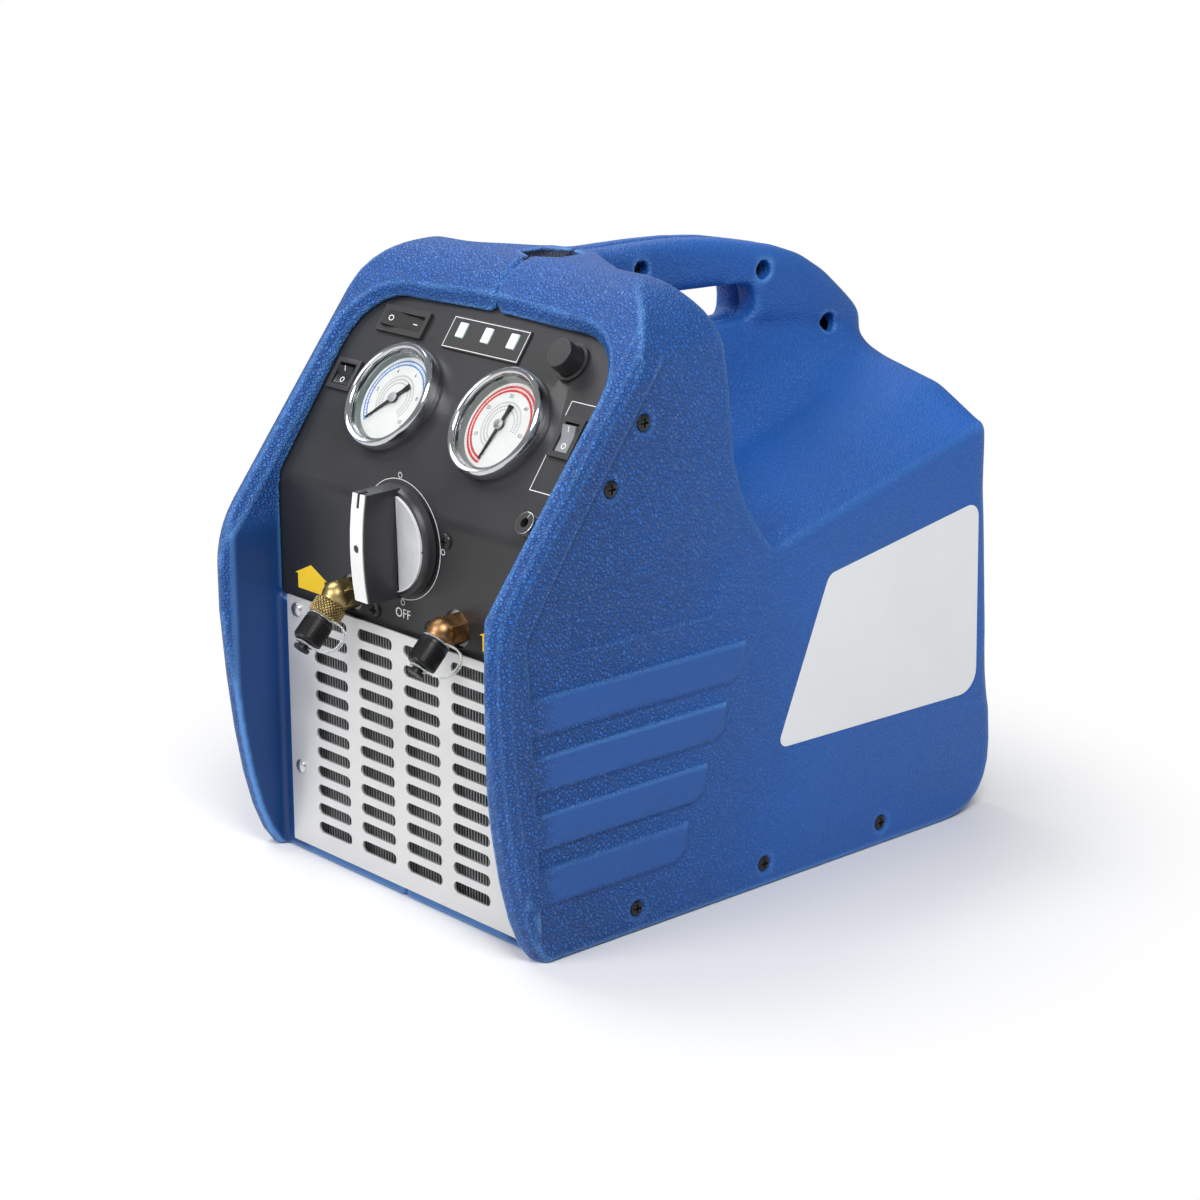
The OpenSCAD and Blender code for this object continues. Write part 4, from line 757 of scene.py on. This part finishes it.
# Gauges: steel cases with chromed bezels, domed glass and white enamelled dials.
# Each dial is printed with plain numbers and arcs, blue for the low side and red for the high.
def turned_into(bm, profile, place=Matrix(), steps=72, ring=False):
    """Adds a turned shape from radius and height pairs."""
    rows = []
    for r, z in profile:
        spots = [(0.0, 0.0)] if r < 1e-9 else circle(r, steps)
        rows.append([bm.verts.new(place @ Vector((x, y, z))) for x, y in spots])
    for a, b in zip(rows, rows[1:] + (rows[:1] if ring else [])):
        for i in range(steps):
            j = (i + 1) % steps
            if len(a) > 1 and len(b) > 1:
                bm.faces.new((a[i], a[j], b[j], b[i]))
            elif len(b) > 1:
                bm.faces.new((a[0], b[j], b[i]))
            elif len(a) > 1:
                bm.faces.new((a[i], a[j], b[0]))


def arc_into(bm, r0, r1, start, end, low, high, place):
    """Adds a printed arc between two radii; angles in degrees."""
    turns = np.radians(np.linspace(start, end, max(3, int(abs(end - start) / 4) + 2)))
    there = [(r1 * math.cos(t), r1 * math.sin(t)) for t in turns]
    back = [(r0 * math.cos(t), r0 * math.sin(t)) for t in turns[::-1]]
    prism_into(bm, there + back, low, high, place)


def see_through(name, colour, patches, roughness, gloss_play, transmission, ior):
    """A clear material with a faint haze."""
    material, tree, shader = bare_material(name)
    haze = put(tree, "ShaderNodeGroup", {"Colour": (*colour, 1.0), "Patches": patches, "Roughness": roughness,
               "Gloss Play": gloss_play}, node_tree=surface_play())
    tree.links.new(haze.outputs["Colour"], shader.inputs["Base Color"])
    tree.links.new(haze.outputs["Roughness"], shader.inputs["Roughness"])
    shader.inputs["Transmission Weight"].default_value = transmission
    shader.inputs["IOR"].default_value = ior
    return material


ring_of, given = node_tool("ring_of", (
    ("Count", "NodeSocketInt", 10), ("Radius", "NodeSocketFloat", 0.02), ("Start", "NodeSocketFloat", 0.0),
    ("Step", "NodeSocketFloat", 0.1), ("Piece", "NodeSocketVector", (0.001, 0.001, 0.001)),
    ("Height", "NodeSocketFloat", 0.0), ("Material", "NodeSocketMaterial", None)))
spots = put(ring_of, "GeometryNodePoints", {"Count": given["Count"]})
index = put(ring_of, "GeometryNodeInputIndex")
angle = put(ring_of, "ShaderNodeMath", {0: index.outputs[0], 1: given["Step"], 2: given["Start"]},
            operation="MULTIPLY_ADD")
cosine = put(ring_of, "ShaderNodeMath", {0: angle.outputs[0]}, operation="COSINE")
sine = put(ring_of, "ShaderNodeMath", {0: angle.outputs[0]}, operation="SINE")
across = put(ring_of, "ShaderNodeMath", {0: cosine.outputs[0], 1: given["Radius"]}, operation="MULTIPLY")
upward = put(ring_of, "ShaderNodeMath", {0: sine.outputs[0], 1: given["Radius"]}, operation="MULTIPLY")
spot = put(ring_of, "ShaderNodeCombineXYZ", {"X": across.outputs[0], "Y": upward.outputs[0], "Z": given["Height"]})
placed = put(ring_of, "GeometryNodeSetPosition", {"Geometry": spots.outputs[0], "Position": spot.outputs[0]})
facing = put(ring_of, "ShaderNodeCombineXYZ", {"Z": angle.outputs[0]})
block = put(ring_of, "GeometryNodeMeshCube", {"Size": given["Piece"]})
blocks = put(ring_of, "GeometryNodeInstanceOnPoints", {
    "Points": placed.outputs[0], "Instance": block.outputs[0], "Rotation": facing.outputs[0]})
closed_tool(ring_of, blocks.outputs[0], given["Material"])

chrome = finish_of("chrome", (0.64, 0.65, 0.66), 0.13, 1.0, 0.03, 60.0, 0.03, 900.0, 0.00001, 0.1)
enamel = finish_of("dial_enamel", (0.8, 0.8, 0.78), 0.45, patches=0.03, patch_scale=60.0)
black_ink_and_shade = finish_of("black_ink_and_shade", (0.02, 0.02, 0.02), 0.5)
blue_ink = finish_of("blue_ink", (0.03, 0.2, 0.6), 0.5)
red_ink = finish_of("red_ink", (0.62, 0.03, 0.03), 0.5)
grey_ink = finish_of("grey_ink", (0.25, 0.26, 0.28), 0.5)
needle_paint = finish_of("needle_paint", (0.015, 0.015, 0.016), 0.4)
wall_grey = finish_of("gauge_wall", (0.17, 0.21, 0.2), 0.38)
glass = see_through("gauge_glass", (0.97, 0.98, 0.98), 0.01, 0.03, 0.015, 1.0, 1.2)

sweep = 270.0
low_ink, high_ink = 0.00125, 0.00136
for which, x, ink, top_mark, zero, band in (
    ("low", -0.0453, blue_ink, 10, 225.0, 0.0008),
    ("high", 0.0453, red_ink, 50, 260.0, 0.0013),
):
    place = on_rake(x, 0.059)
    bm = bmesh.new()
    turned_into(bm, [(0.0276, 0.0062), (0.0277, 0.0072), (0.0284, 0.0083), (0.0295, 0.0089), (0.0306, 0.0089),
                     (0.0315, 0.0082), (0.0320, 0.0071), (0.0320, 0.0024), (0.0317, 0.0020), (0.0284, 0.0020),
                     (0.0284, 0.0062)], place, 96, True)
    settled(which + "_gauge_rim", made(which + "_gauge_rim", bm), "machine", which + "_gauge_bezel", material=chrome)
    bm = bmesh.new()
    turned_into(bm, [(0, 0.0049), (0.0281, 0.0049), (0.0281, 0.0056), (0.0272, 0.0059), (0.02, 0.0062), (0.01, 0.00635),
                     (0, 0.0064)], place)
    settled(which + "_gauge_glass", made(which + "_gauge_glass", bm), "machine", which + "_gauge_lens", material=glass)
    bm = bmesh.new()
    turned_into(bm, [(0.0249, 0.00128), (0.0264, 0.00128), (0.0264, 0.0047), (0.0258, 0.0047)], place, 96, True)
    settled(which + "_gauge_wall", made(which + "_gauge_wall", bm), "machine", slot=slot_of[which + "_gauge_case"],
            material=wall_grey)
    bm = bmesh.new()
    turned_into(bm, [(0, 0.0), (0.0265, 0.0), (0.0266, 0.0011), (0.0264, 0.0013), (0, 0.0013)], place, 96)
    settled(which + "_gauge_face", made(which + "_gauge_face", bm), "machine", which + "_gauge_dial", material=enamel)
    bm = bmesh.new()
    for r in (0.0226, 0.0204):
        arc_into(bm, r - band / 2, r + band / 2, zero, zero - sweep, low_ink, high_ink, place)
    settled(which + "_gauge_arcs", made(which + "_gauge_arcs", bm), "machine", slot="dial_white", material=ink)
    for tag, count, radius, piece, paint in (
        ("fine", 51, 0.0215, (0.0014, 0.0002, 0.00011), ink),
        ("long", 11, 0.0211, (0.0034, 0.0004, 0.00012), ink),
        ("outer", 55, 0.0136, (0.0012, 0.0004, 0.00011), grey_ink),
        ("middle", 46, 0.0115, (0.0011, 0.0005, 0.00011), grey_ink),
        ("inner", 37, 0.0094, (0.0010, 0.0005, 0.00011), grey_ink),
    ):
        mesh = grown(which + "_ticks_" + tag, ring_of, {
            "Count": count, "Radius": radius, "Start": math.radians(zero), "Step": math.radians(-sweep / (count - 1)),
            "Piece": piece, "Height": 0.0013, "Material": paint})
        mesh.transform(place)
        settled(which + "_ticks_" + tag, mesh, "machine", slot="dial_white")
    bm = bmesh.new()
    for i in range(6):
        t = math.radians(zero - sweep / 5 * i)
        spot = Matrix.Translation((0.0172 * math.cos(t), 0.0172 * math.sin(t), 0.00133))
        words_into(bm, str(top_mark * i // 5), 0.0032, place @ spot)
    settled(which + "_gauge_numbers", made(which + "_gauge_numbers", bm), "machine", slot="dial_white", material=black_ink_and_shade)
    refined(which + "_gauge_needle", needle_paint, 0.0001, 1)
    bm = bmesh.new()
    turned_into(bm, [(0, 0.0024), (0.0030, 0.0024), (0.0030, 0.0038), (0.0024, 0.0043), (0, 0.0044)], place, 32)
    settled(which + "_needle_hub", made(which + "_needle_hub", bm), which + "_needle", slot="steel", material=turned_steel)


# Function knob: moulded dark plastic with a grip bar across it, pressed on the valve spindle.
# Brushed half-moons lie beside the grip, and a white strip with a black dot runs along its top.
knob_plastic = finish_of("knob_plastic", (0.028, 0.028, 0.031), 0.38, 0.0, 0.1, 60.0, 0.06, 1800.0, 0.00004)
brushed = finish_of("brushed_plate", (0.68, 0.685, 0.695), 0.34, 0.3, 0.06, 80.0, 0.06, 2600.0, 0.00002)
ivory = finish_of("ivory_plastic", (0.74, 0.74, 0.73), 0.4, patches=0.04)
refined("function_knob", knob_plastic, 0.0007, 3)
trim = refined("knob_trim", brushed, 0.0002)
trim.data.materials.append(ivory)
for face in trim.data.polygons:
    face.material_index = 1 if face.center.y < PANEL_Y - 0.015 else 0
bm = bmesh.new()
knob_axis = on_front(0.0, KNOB_Z)
for side in (-1, 1):
    rim = [(side * x, y) for x, y in circle(0.0274, 120) if x > 0.0066]
    core = [(x * 0.978, y * 0.978) for x, y in rim]
    prism_into(bm, rim + core[::-1], 0.0074, 0.0090, knob_axis)
turned_into(bm, [(0, 0.0285), (0.0021, 0.0285), (0.0021, 0.0304), (0, 0.0306)], knob_axis, 24)
edging = made("knob_edging", bm)
edging.materials.append(ivory)
edging.materials.append(black_ink_and_shade)
for face in edging.polygons:
    face.material_index = 1 if face.center.y < PANEL_Y - 0.02 else 0
settled("knob_edging", edging, "knob", slot="knob_silver")


# Switches and lamps: black snap-in bodies with rockers, a tall start button and a lamp strip.
# Rockers carry the marks I and O, and the strip has a thin white frame round three windows.
# A small plated socket is pressed into the panel by its bend; its bore is painted black as shade.
def face_frame(node, at):
    """Frame where a line through a place on the raked face meets a node from outside."""
    bm = merged(node)
    tree = BVHTree.FromBMesh(bm)
    bm.free()
    out = at.to_3x3() @ Vector((0, 0, 1))
    spot, normal, _, _ = tree.ray_cast(at.translation + out * 0.03, -out)
    side = at.to_3x3() @ Vector((1, 0, 0))
    side = (side - normal * side.dot(normal)).normalized()
    up = normal.cross(side)
    return Matrix((*((side[k], up[k], normal[k], spot[k]) for k in range(3)), (0, 0, 0, 1)))


gloss_black = finish_of("gloss_black", (0.014, 0.014, 0.015), 0.28, 0.0, 0.1, 80.0, 0.05, 1800.0, 0.00003)
satin_black = finish_of("satin_black", (0.02, 0.02, 0.021), 0.42, 0.0, 0.1, 80.0, 0.06, 1800.0, 0.00004)
grey_rocker = finish_of("grey_rocker", (0.2, 0.21, 0.22), 0.4, 0.0, 0.06, 80.0, 0.06, 1800.0, 0.00003)
lamp_milk = finish_of("lamp_milk", (0.82, 0.83, 0.82), 0.35, 0.0, 0.04, 90.0, 0.04, 900.0, 0.00001, 0.2,
                      Subsurface_Weight=0.3)
for node in ("power_switch_body", "mode_switch_body", "breaker_body", "start_button_body", "indicator_strip"):
    refined(node, satin_black, 0.0004)
refined("power_rocker", gloss_black, 0.0003)
refined("breaker_rocker", gloss_black, 0.0003)
refined("mode_rocker", grey_rocker, 0.0003)
refined("start_button", satin_black, 0.0008, 3)
refined("indicator_lamps", lamp_milk, 0.0004)

for node, body, x, s, dx, ds, bar in (
    ("power_rocker", "power_switch", -0.069, 0.1035, 0.009, 0.0, (0.0032, 0.0006)),
    ("mode_rocker", "mode_switch", 0.096, 0.0615, 0.0, 0.0045, (0.0006, 0.0030)),
    ("breaker_rocker", "breaker", -0.0965, 0.0655, 0.0, 0.0032, (0.0006, 0.0030)),
):
    bm = bmesh.new()
    spot = face_frame(node, on_rake(x - dx, s - ds))
    frame_into(bm, circle(0.0017, 24), circle(0.0012, 24), LOW_INK, HIGH_INK, spot)
    spot = face_frame(node, on_rake(x + dx, s + ds))
    prism_into(bm, rectangle(*bar), LOW_INK, HIGH_INK, spot)
    settled(node + "_marks", made(node + "_marks", bm), body, slot="label_white", material=white_ink)
bm = bmesh.new()
strip = on_rake(0.002, 0.104, 0.0012)
frame_into(bm, rectangle(0.0632, 0.0182), rectangle(0.0624, 0.0174), LOW_INK, HIGH_INK, strip)
settled("strip_print", made("strip_print", bm), "machine", slot="label_white", material=white_ink)
plated = finish_of("plated_socket", (0.66, 0.66, 0.67), 0.3, 1.0, 0.05, 120.0, 0.06, 1500.0, 0.00001)
jack = refined("service_jack", plated, 0.0003)
# Painted shade: the faces inside the bore take the second, black material.
jack.data.materials.append(black_ink_and_shade)
jack_frame = on_rake(0.0990, 0.0115).inverted()
bore_edge = 0.0028
for face in jack.data.polygons:
    face.material_index = 1 if (jack_frame @ face.center).xy.length < bore_edge else 0


# Service ports: brass elbows screwed into the valve block through the panel.
# The inlet carries a knurled filter; ribbed black caps hang on clear moulded tethers.
# A yellow film arrow is stuck to the panel beside each port.
def on_branch(side, d=0.0):
    """Frame on a port's slanting branch, d out from the elbow."""
    h = math.sqrt(0.5)
    x, y, z = side * 0.0461, -0.1596 - d * h, 0.166 - d * h
    return Matrix(((1, 0, 0, x), (0, -h, -h, y), (0, h, -h, z), (0, 0, 0, 1)))


brass = finish_of("brass", (0.46, 0.35, 0.15), 0.36, 1.0, 0.14, 90.0, 0.1, 1500.0, 0.00003)
old_brass = finish_of("old_brass", (0.34, 0.19, 0.09), 0.4, 1.0, 0.2, 90.0, 0.12, 1500.0, 0.00003)
cap_rubber = finish_of("cap_rubber", (0.008, 0.008, 0.009), 0.36, 0.0, 0.12, 120.0, 0.08, 1600.0, 0.00004,
                       Specular_IOR_Level=0.3)
refined("input_fitting", brass, 0.0004)
refined("output_fitting", old_brass, 0.0004)



def knurl_grooves(tree):
    """Mask of the grooves that are cut into the filter."""
    return put(tree, "ShaderNodeAttribute", attribute_name="groove").outputs["Fac"]


# The knurled brass goes darker in its cut grooves.
knurled = dark_masked_metal("knurled_brass", (0.46, 0.35, 0.15), (0.05, 0.032, 0.01), knurl_grooves, 0.14, 90.0, 0.34, 0.9)
rows, turns = 40, 216
length, radius, neck = 0.0095, 0.0095, 0.0083
knurl_count, knurl_pitch, knurl_depth = 27, 0.0022, 0.00065
bm = bmesh.new()
profile = [(0.0, 0.0), (neck, 0.0)]
for i in range(rows + 1):
    chamfer = 0.0009 * max(0.0, 1 - 8 * min(i, rows - i) / rows)
    profile.append((radius - chamfer, 0.0003 + (length - 0.0006) * i / rows))
profile += [(neck, length), (0.0, length)]
turned_into(bm, profile, steps=turns)
groove_mask = bm.verts.layers.float.new("groove")
for v in bm.verts:
    r = math.hypot(v.co.x, v.co.y)
    if r > neck + 0.0001 and 0.0004 < v.co.z < length - 0.0004:
        t = math.atan2(v.co.y, v.co.x) * knurl_count / math.tau
        k = v.co.z / knurl_pitch
        away = min(abs((t + k) % 1.0 - 0.5), abs((t - k) % 1.0 - 0.5)) * 2
        v[groove_mask] = max(0.0, 1 - 2.0 * away)
        cut = 1 - knurl_depth / r * v[groove_mask]
        v.co.x, v.co.y = v.co.x * cut, v.co.y * cut
bmesh.ops.transform(bm, matrix=on_branch(-1, 0.005), verts=bm.verts)
settled("filter_knurl", made("filter_knurl", bm), "machine", "input_filter", material=knurled)

for which, side, d in (("input", -1, 0.0159), ("output", 1, 0.0064)):
    place = on_branch(side, d)
    bm = bmesh.new()
    turned_into(bm, [(0.0057, 0.0), (0.0078, 0.0), (0.0083, 0.0005), (0.0083, 0.0020), (0.0080, 0.0024),
                     (0.0080, 0.0140), (0.0076, 0.0150), (0.0068, 0.0155), (0.0030, 0.0155), (0.0030, 0.0183),
                     (0.0044, 0.0185), (0.0048, 0.0189), (0.0048, 0.0201), (0.0044, 0.0205), (0.0, 0.0205),
                     (0.0, 0.0130), (0.0057, 0.0130)], place, 64, True)
    bmesh.ops.remove_doubles(bm, verts=bm.verts, dist=1e-7)
    body = which + "_cap_body"
    settled(body + "_finish", made(body + "_finish", bm), body, which + "_cap", material=cap_rubber)
    mesh = grown(which + "_cap_ribs", ring_of, {
        "Count": 44, "Radius": 0.0081, "Start": 0.0, "Step": math.tau / 44, "Piece": (0.0007, 0.0006, 0.0112),
        "Height": 0.0084, "Material": cap_rubber})
    mesh.transform(place)
    settled(which + "_cap_ribs", mesh, body, slot=slot_of[which + "_cap"])

clear = see_through("clear_strap", (0.86, 0.89, 0.88), 0.04, 0.22, 0.08, 0.75, 1.35)
strap = [(a * 0.00045, b * 0.0012) for a, b in (
    (-1, -0.8), (-0.6, -1), (0.6, -1), (1, -0.8), (1, 0.8), (0.6, 1), (-0.6, 1), (-1, 0.8))]
for which, side, d in (("input", -1, 0.0147), ("output", 1, 0.0052)):
    place = on_branch(side, d)
    bm = bmesh.new()
    for r0, r1, z0, z1 in ((0.00565, 0.00795, 0.0, 0.0009), (0.0033, 0.0052, 0.0173, 0.0183)):
        e = 0.0002
        turned_into(bm, [(r0, z0), (r1 - e, z0), (r1, z0 + e), (r1, z1 - e), (r1 - e, z1), (r0, z1)], place, 48, True)
    path = []
    for a, b, c in (((7.15, 0.55), (25.9, -0.4), (26.7, 9.9)), ((26.7, 9.9), (26.3, 21.6), (4.8, 17.9))):
        for t in np.linspace(0.0, 1.0, 16):
            path.append(Vector([a[k] * (1 - t) ** 2 + 2 * b[k] * t * (1 - t) + c[k] * t * t for k in (0, 1)]) / 1000)
    path = [place @ Vector((p.x, 0.0, p.y)) for i, p in enumerate(path) if i != 16]
    swept_into(bm, path, strap, place.to_3x3() @ Vector((0, 1, 0)))
    settled(which + "_tether_strap", made(which + "_tether_strap", bm), "machine", which + "_tether", material=clear)

sticker = finish_of("yellow_film", (0.75, 0.5, 0.02), 0.4, patches=0.05)
bm = bmesh.new()
for x, z in ((-0.0835, 0.1655), (0.0800, 0.1655)):
    prism_into(bm, [(-0.0125, -0.0070), (0.0125, -0.0070), (0.0125, 0.0015), (0.0150, 0.0015), (0.0, 0.0085),
                    (-0.0150, 0.0015), (-0.0125, 0.0015)], -0.00003, 0.0001, on_front(x, z))
settled("arrow_stickers", made("arrow_stickers", bm), "machine", slot="label_white", material=sticker)


# Side label: white plastic film, left blank, in a shallow recess of the right half.
# Mains inlet: black moulded socket, in the rear wall of the left half.
film = finish_of("label_film", (0.78, 0.79, 0.8), 0.35, 0.0, 0.03, 12.0, 0.05, 700.0, 0.00001, 0.2)
refined("side_label", film, 0.0002)
refined("power_inlet", satin_black, 0.0005)


# Screws: pressed steel heads with a driver recess, one shape repeated at each place.
# Black cross-head screws close the housing and hold the panel, bright slotted ones the grille.
def head_shape(name, arms):
    """A screw head of unit radius with a cross or a slot, and a short shank."""
    bm = bmesh.new()
    turned_into(bm, [(0, -1.6), (0.38, -1.6), (0.38, 0.0), (1.0, 0.0), (1.0, 0.16), (0.9, 0.32), (0.66, 0.44), (0, 0.5)],
                steps=28)
    body = bpy.data.objects.new(name, made(name, bm))
    scene.collection.objects.link(body)
    for w, h in arms:
        bm = bmesh.new()
        box_into(bm, (-w / 2, -h / 2, 0.14), (w / 2, h / 2, 1.0))
        cutter = bpy.data.objects.new(name + "_cut", made(name + "_cut", bm))
        scene.collection.objects.link(cutter)
        cut = body.modifiers.new("cut", "BOOLEAN")
        cut.operation, cut.solver, cut.object = "DIFFERENCE", "EXACT", cutter
        shape = bpy.data.meshes.new_from_object(body.evaluated_get(bpy.context.evaluated_depsgraph_get()))
        body.modifiers.remove(cut)
        body.data = shape
        bpy.data.objects.remove(cutter)
    return body


screws_at, given = node_tool("screws_at", (
    ("Geometry", "NodeSocketGeometry", None), ("Head", "NodeSocketObject", None), ("Radius", "NodeSocketFloat", 0.004),
    ("Material", "NodeSocketMaterial", None)))
axis = put(screws_at, "GeometryNodeInputNamedAttribute", {"Name": "axis"}, data_type="FLOAT_VECTOR")
turn_to = put(screws_at, "FunctionNodeAlignRotationToVector", {"Vector": axis.outputs[0]}, axis="Z")
head = put(screws_at, "GeometryNodeObjectInfo", {"Object": given["Head"]})
heads = put(screws_at, "GeometryNodeInstanceOnPoints", {
    "Points": given["Geometry"], "Instance": head.outputs["Geometry"], "Rotation": turn_to.outputs[0],
    "Scale": given["Radius"]})
closed_tool(screws_at, heads.outputs[0], given["Material"])

black_steel = finish_of("black_steel", (0.011, 0.011, 0.012), 0.38, 0.2, 0.1, 200.0, 0.1, 1500.0, 0.00003)
bright_steel = finish_of("bright_steel", (0.6, 0.6, 0.61), 0.28, 1.0, 0.08, 200.0, 0.1, 1500.0, 0.00003)
cross = head_shape("cross_head", ((0.26, 1.15), (1.15, 0.26)))
slotted = head_shape("slot_head", ((0.24, 2.4),))
sides = [(s * 0.1218, y, z, s, 0, 0) for s in (-1, 1) for y, z in ((-0.0864, 0.2812), (-0.1092, 0.2497))]
feet = [(s * 0.1214, y, 0.0132, s, 0, 0) for s in (-1, 1) for y in (-0.0896, 0.0077, 0.1038)]
grips = [(0.0085, y, z, 1, 0, 0) for y, z in grip_screws]
panel_spots = [(s * x, PANEL_Y, z, 0, -1, 0) for s in (-1, 1) for x, z in ((0.0386, 0.2126), (0.024, 0.161))]
grille_spots = [(s * 0.092, -0.154, z, 0, -1, 0) for s in (-1, 1) for z in (0.147, 0.053)]
for node, spots, head, radius, metal in (
    ("side_screws", sides, cross, 0.0047, black_steel),
    ("base_screws", feet, cross, 0.0046, black_steel),
    ("handle_screws", grips, cross, 0.0049, black_steel),
    ("panel_screws", panel_spots, cross, 0.0043, black_steel),
    ("grille_screws", grille_spots, slotted, 0.0042, bright_steel),
):
    base = bpy.data.meshes.new(node)
    base.from_pydata([s[:3] for s in spots], [], [])
    axes = base.attributes.new("axis", "FLOAT_VECTOR", "POINT")
    axes.data.foreach_set("vector", [float(c) for s in spots for c in s[3:]])
    mesh = grown(node + "_heads", screws_at, {"Head": head, "Radius": radius, "Material": metal}, base)
    settled(node + "_heads", mesh, "machine", node)
for head in (cross, slotted):
    bpy.data.objects.remove(head)
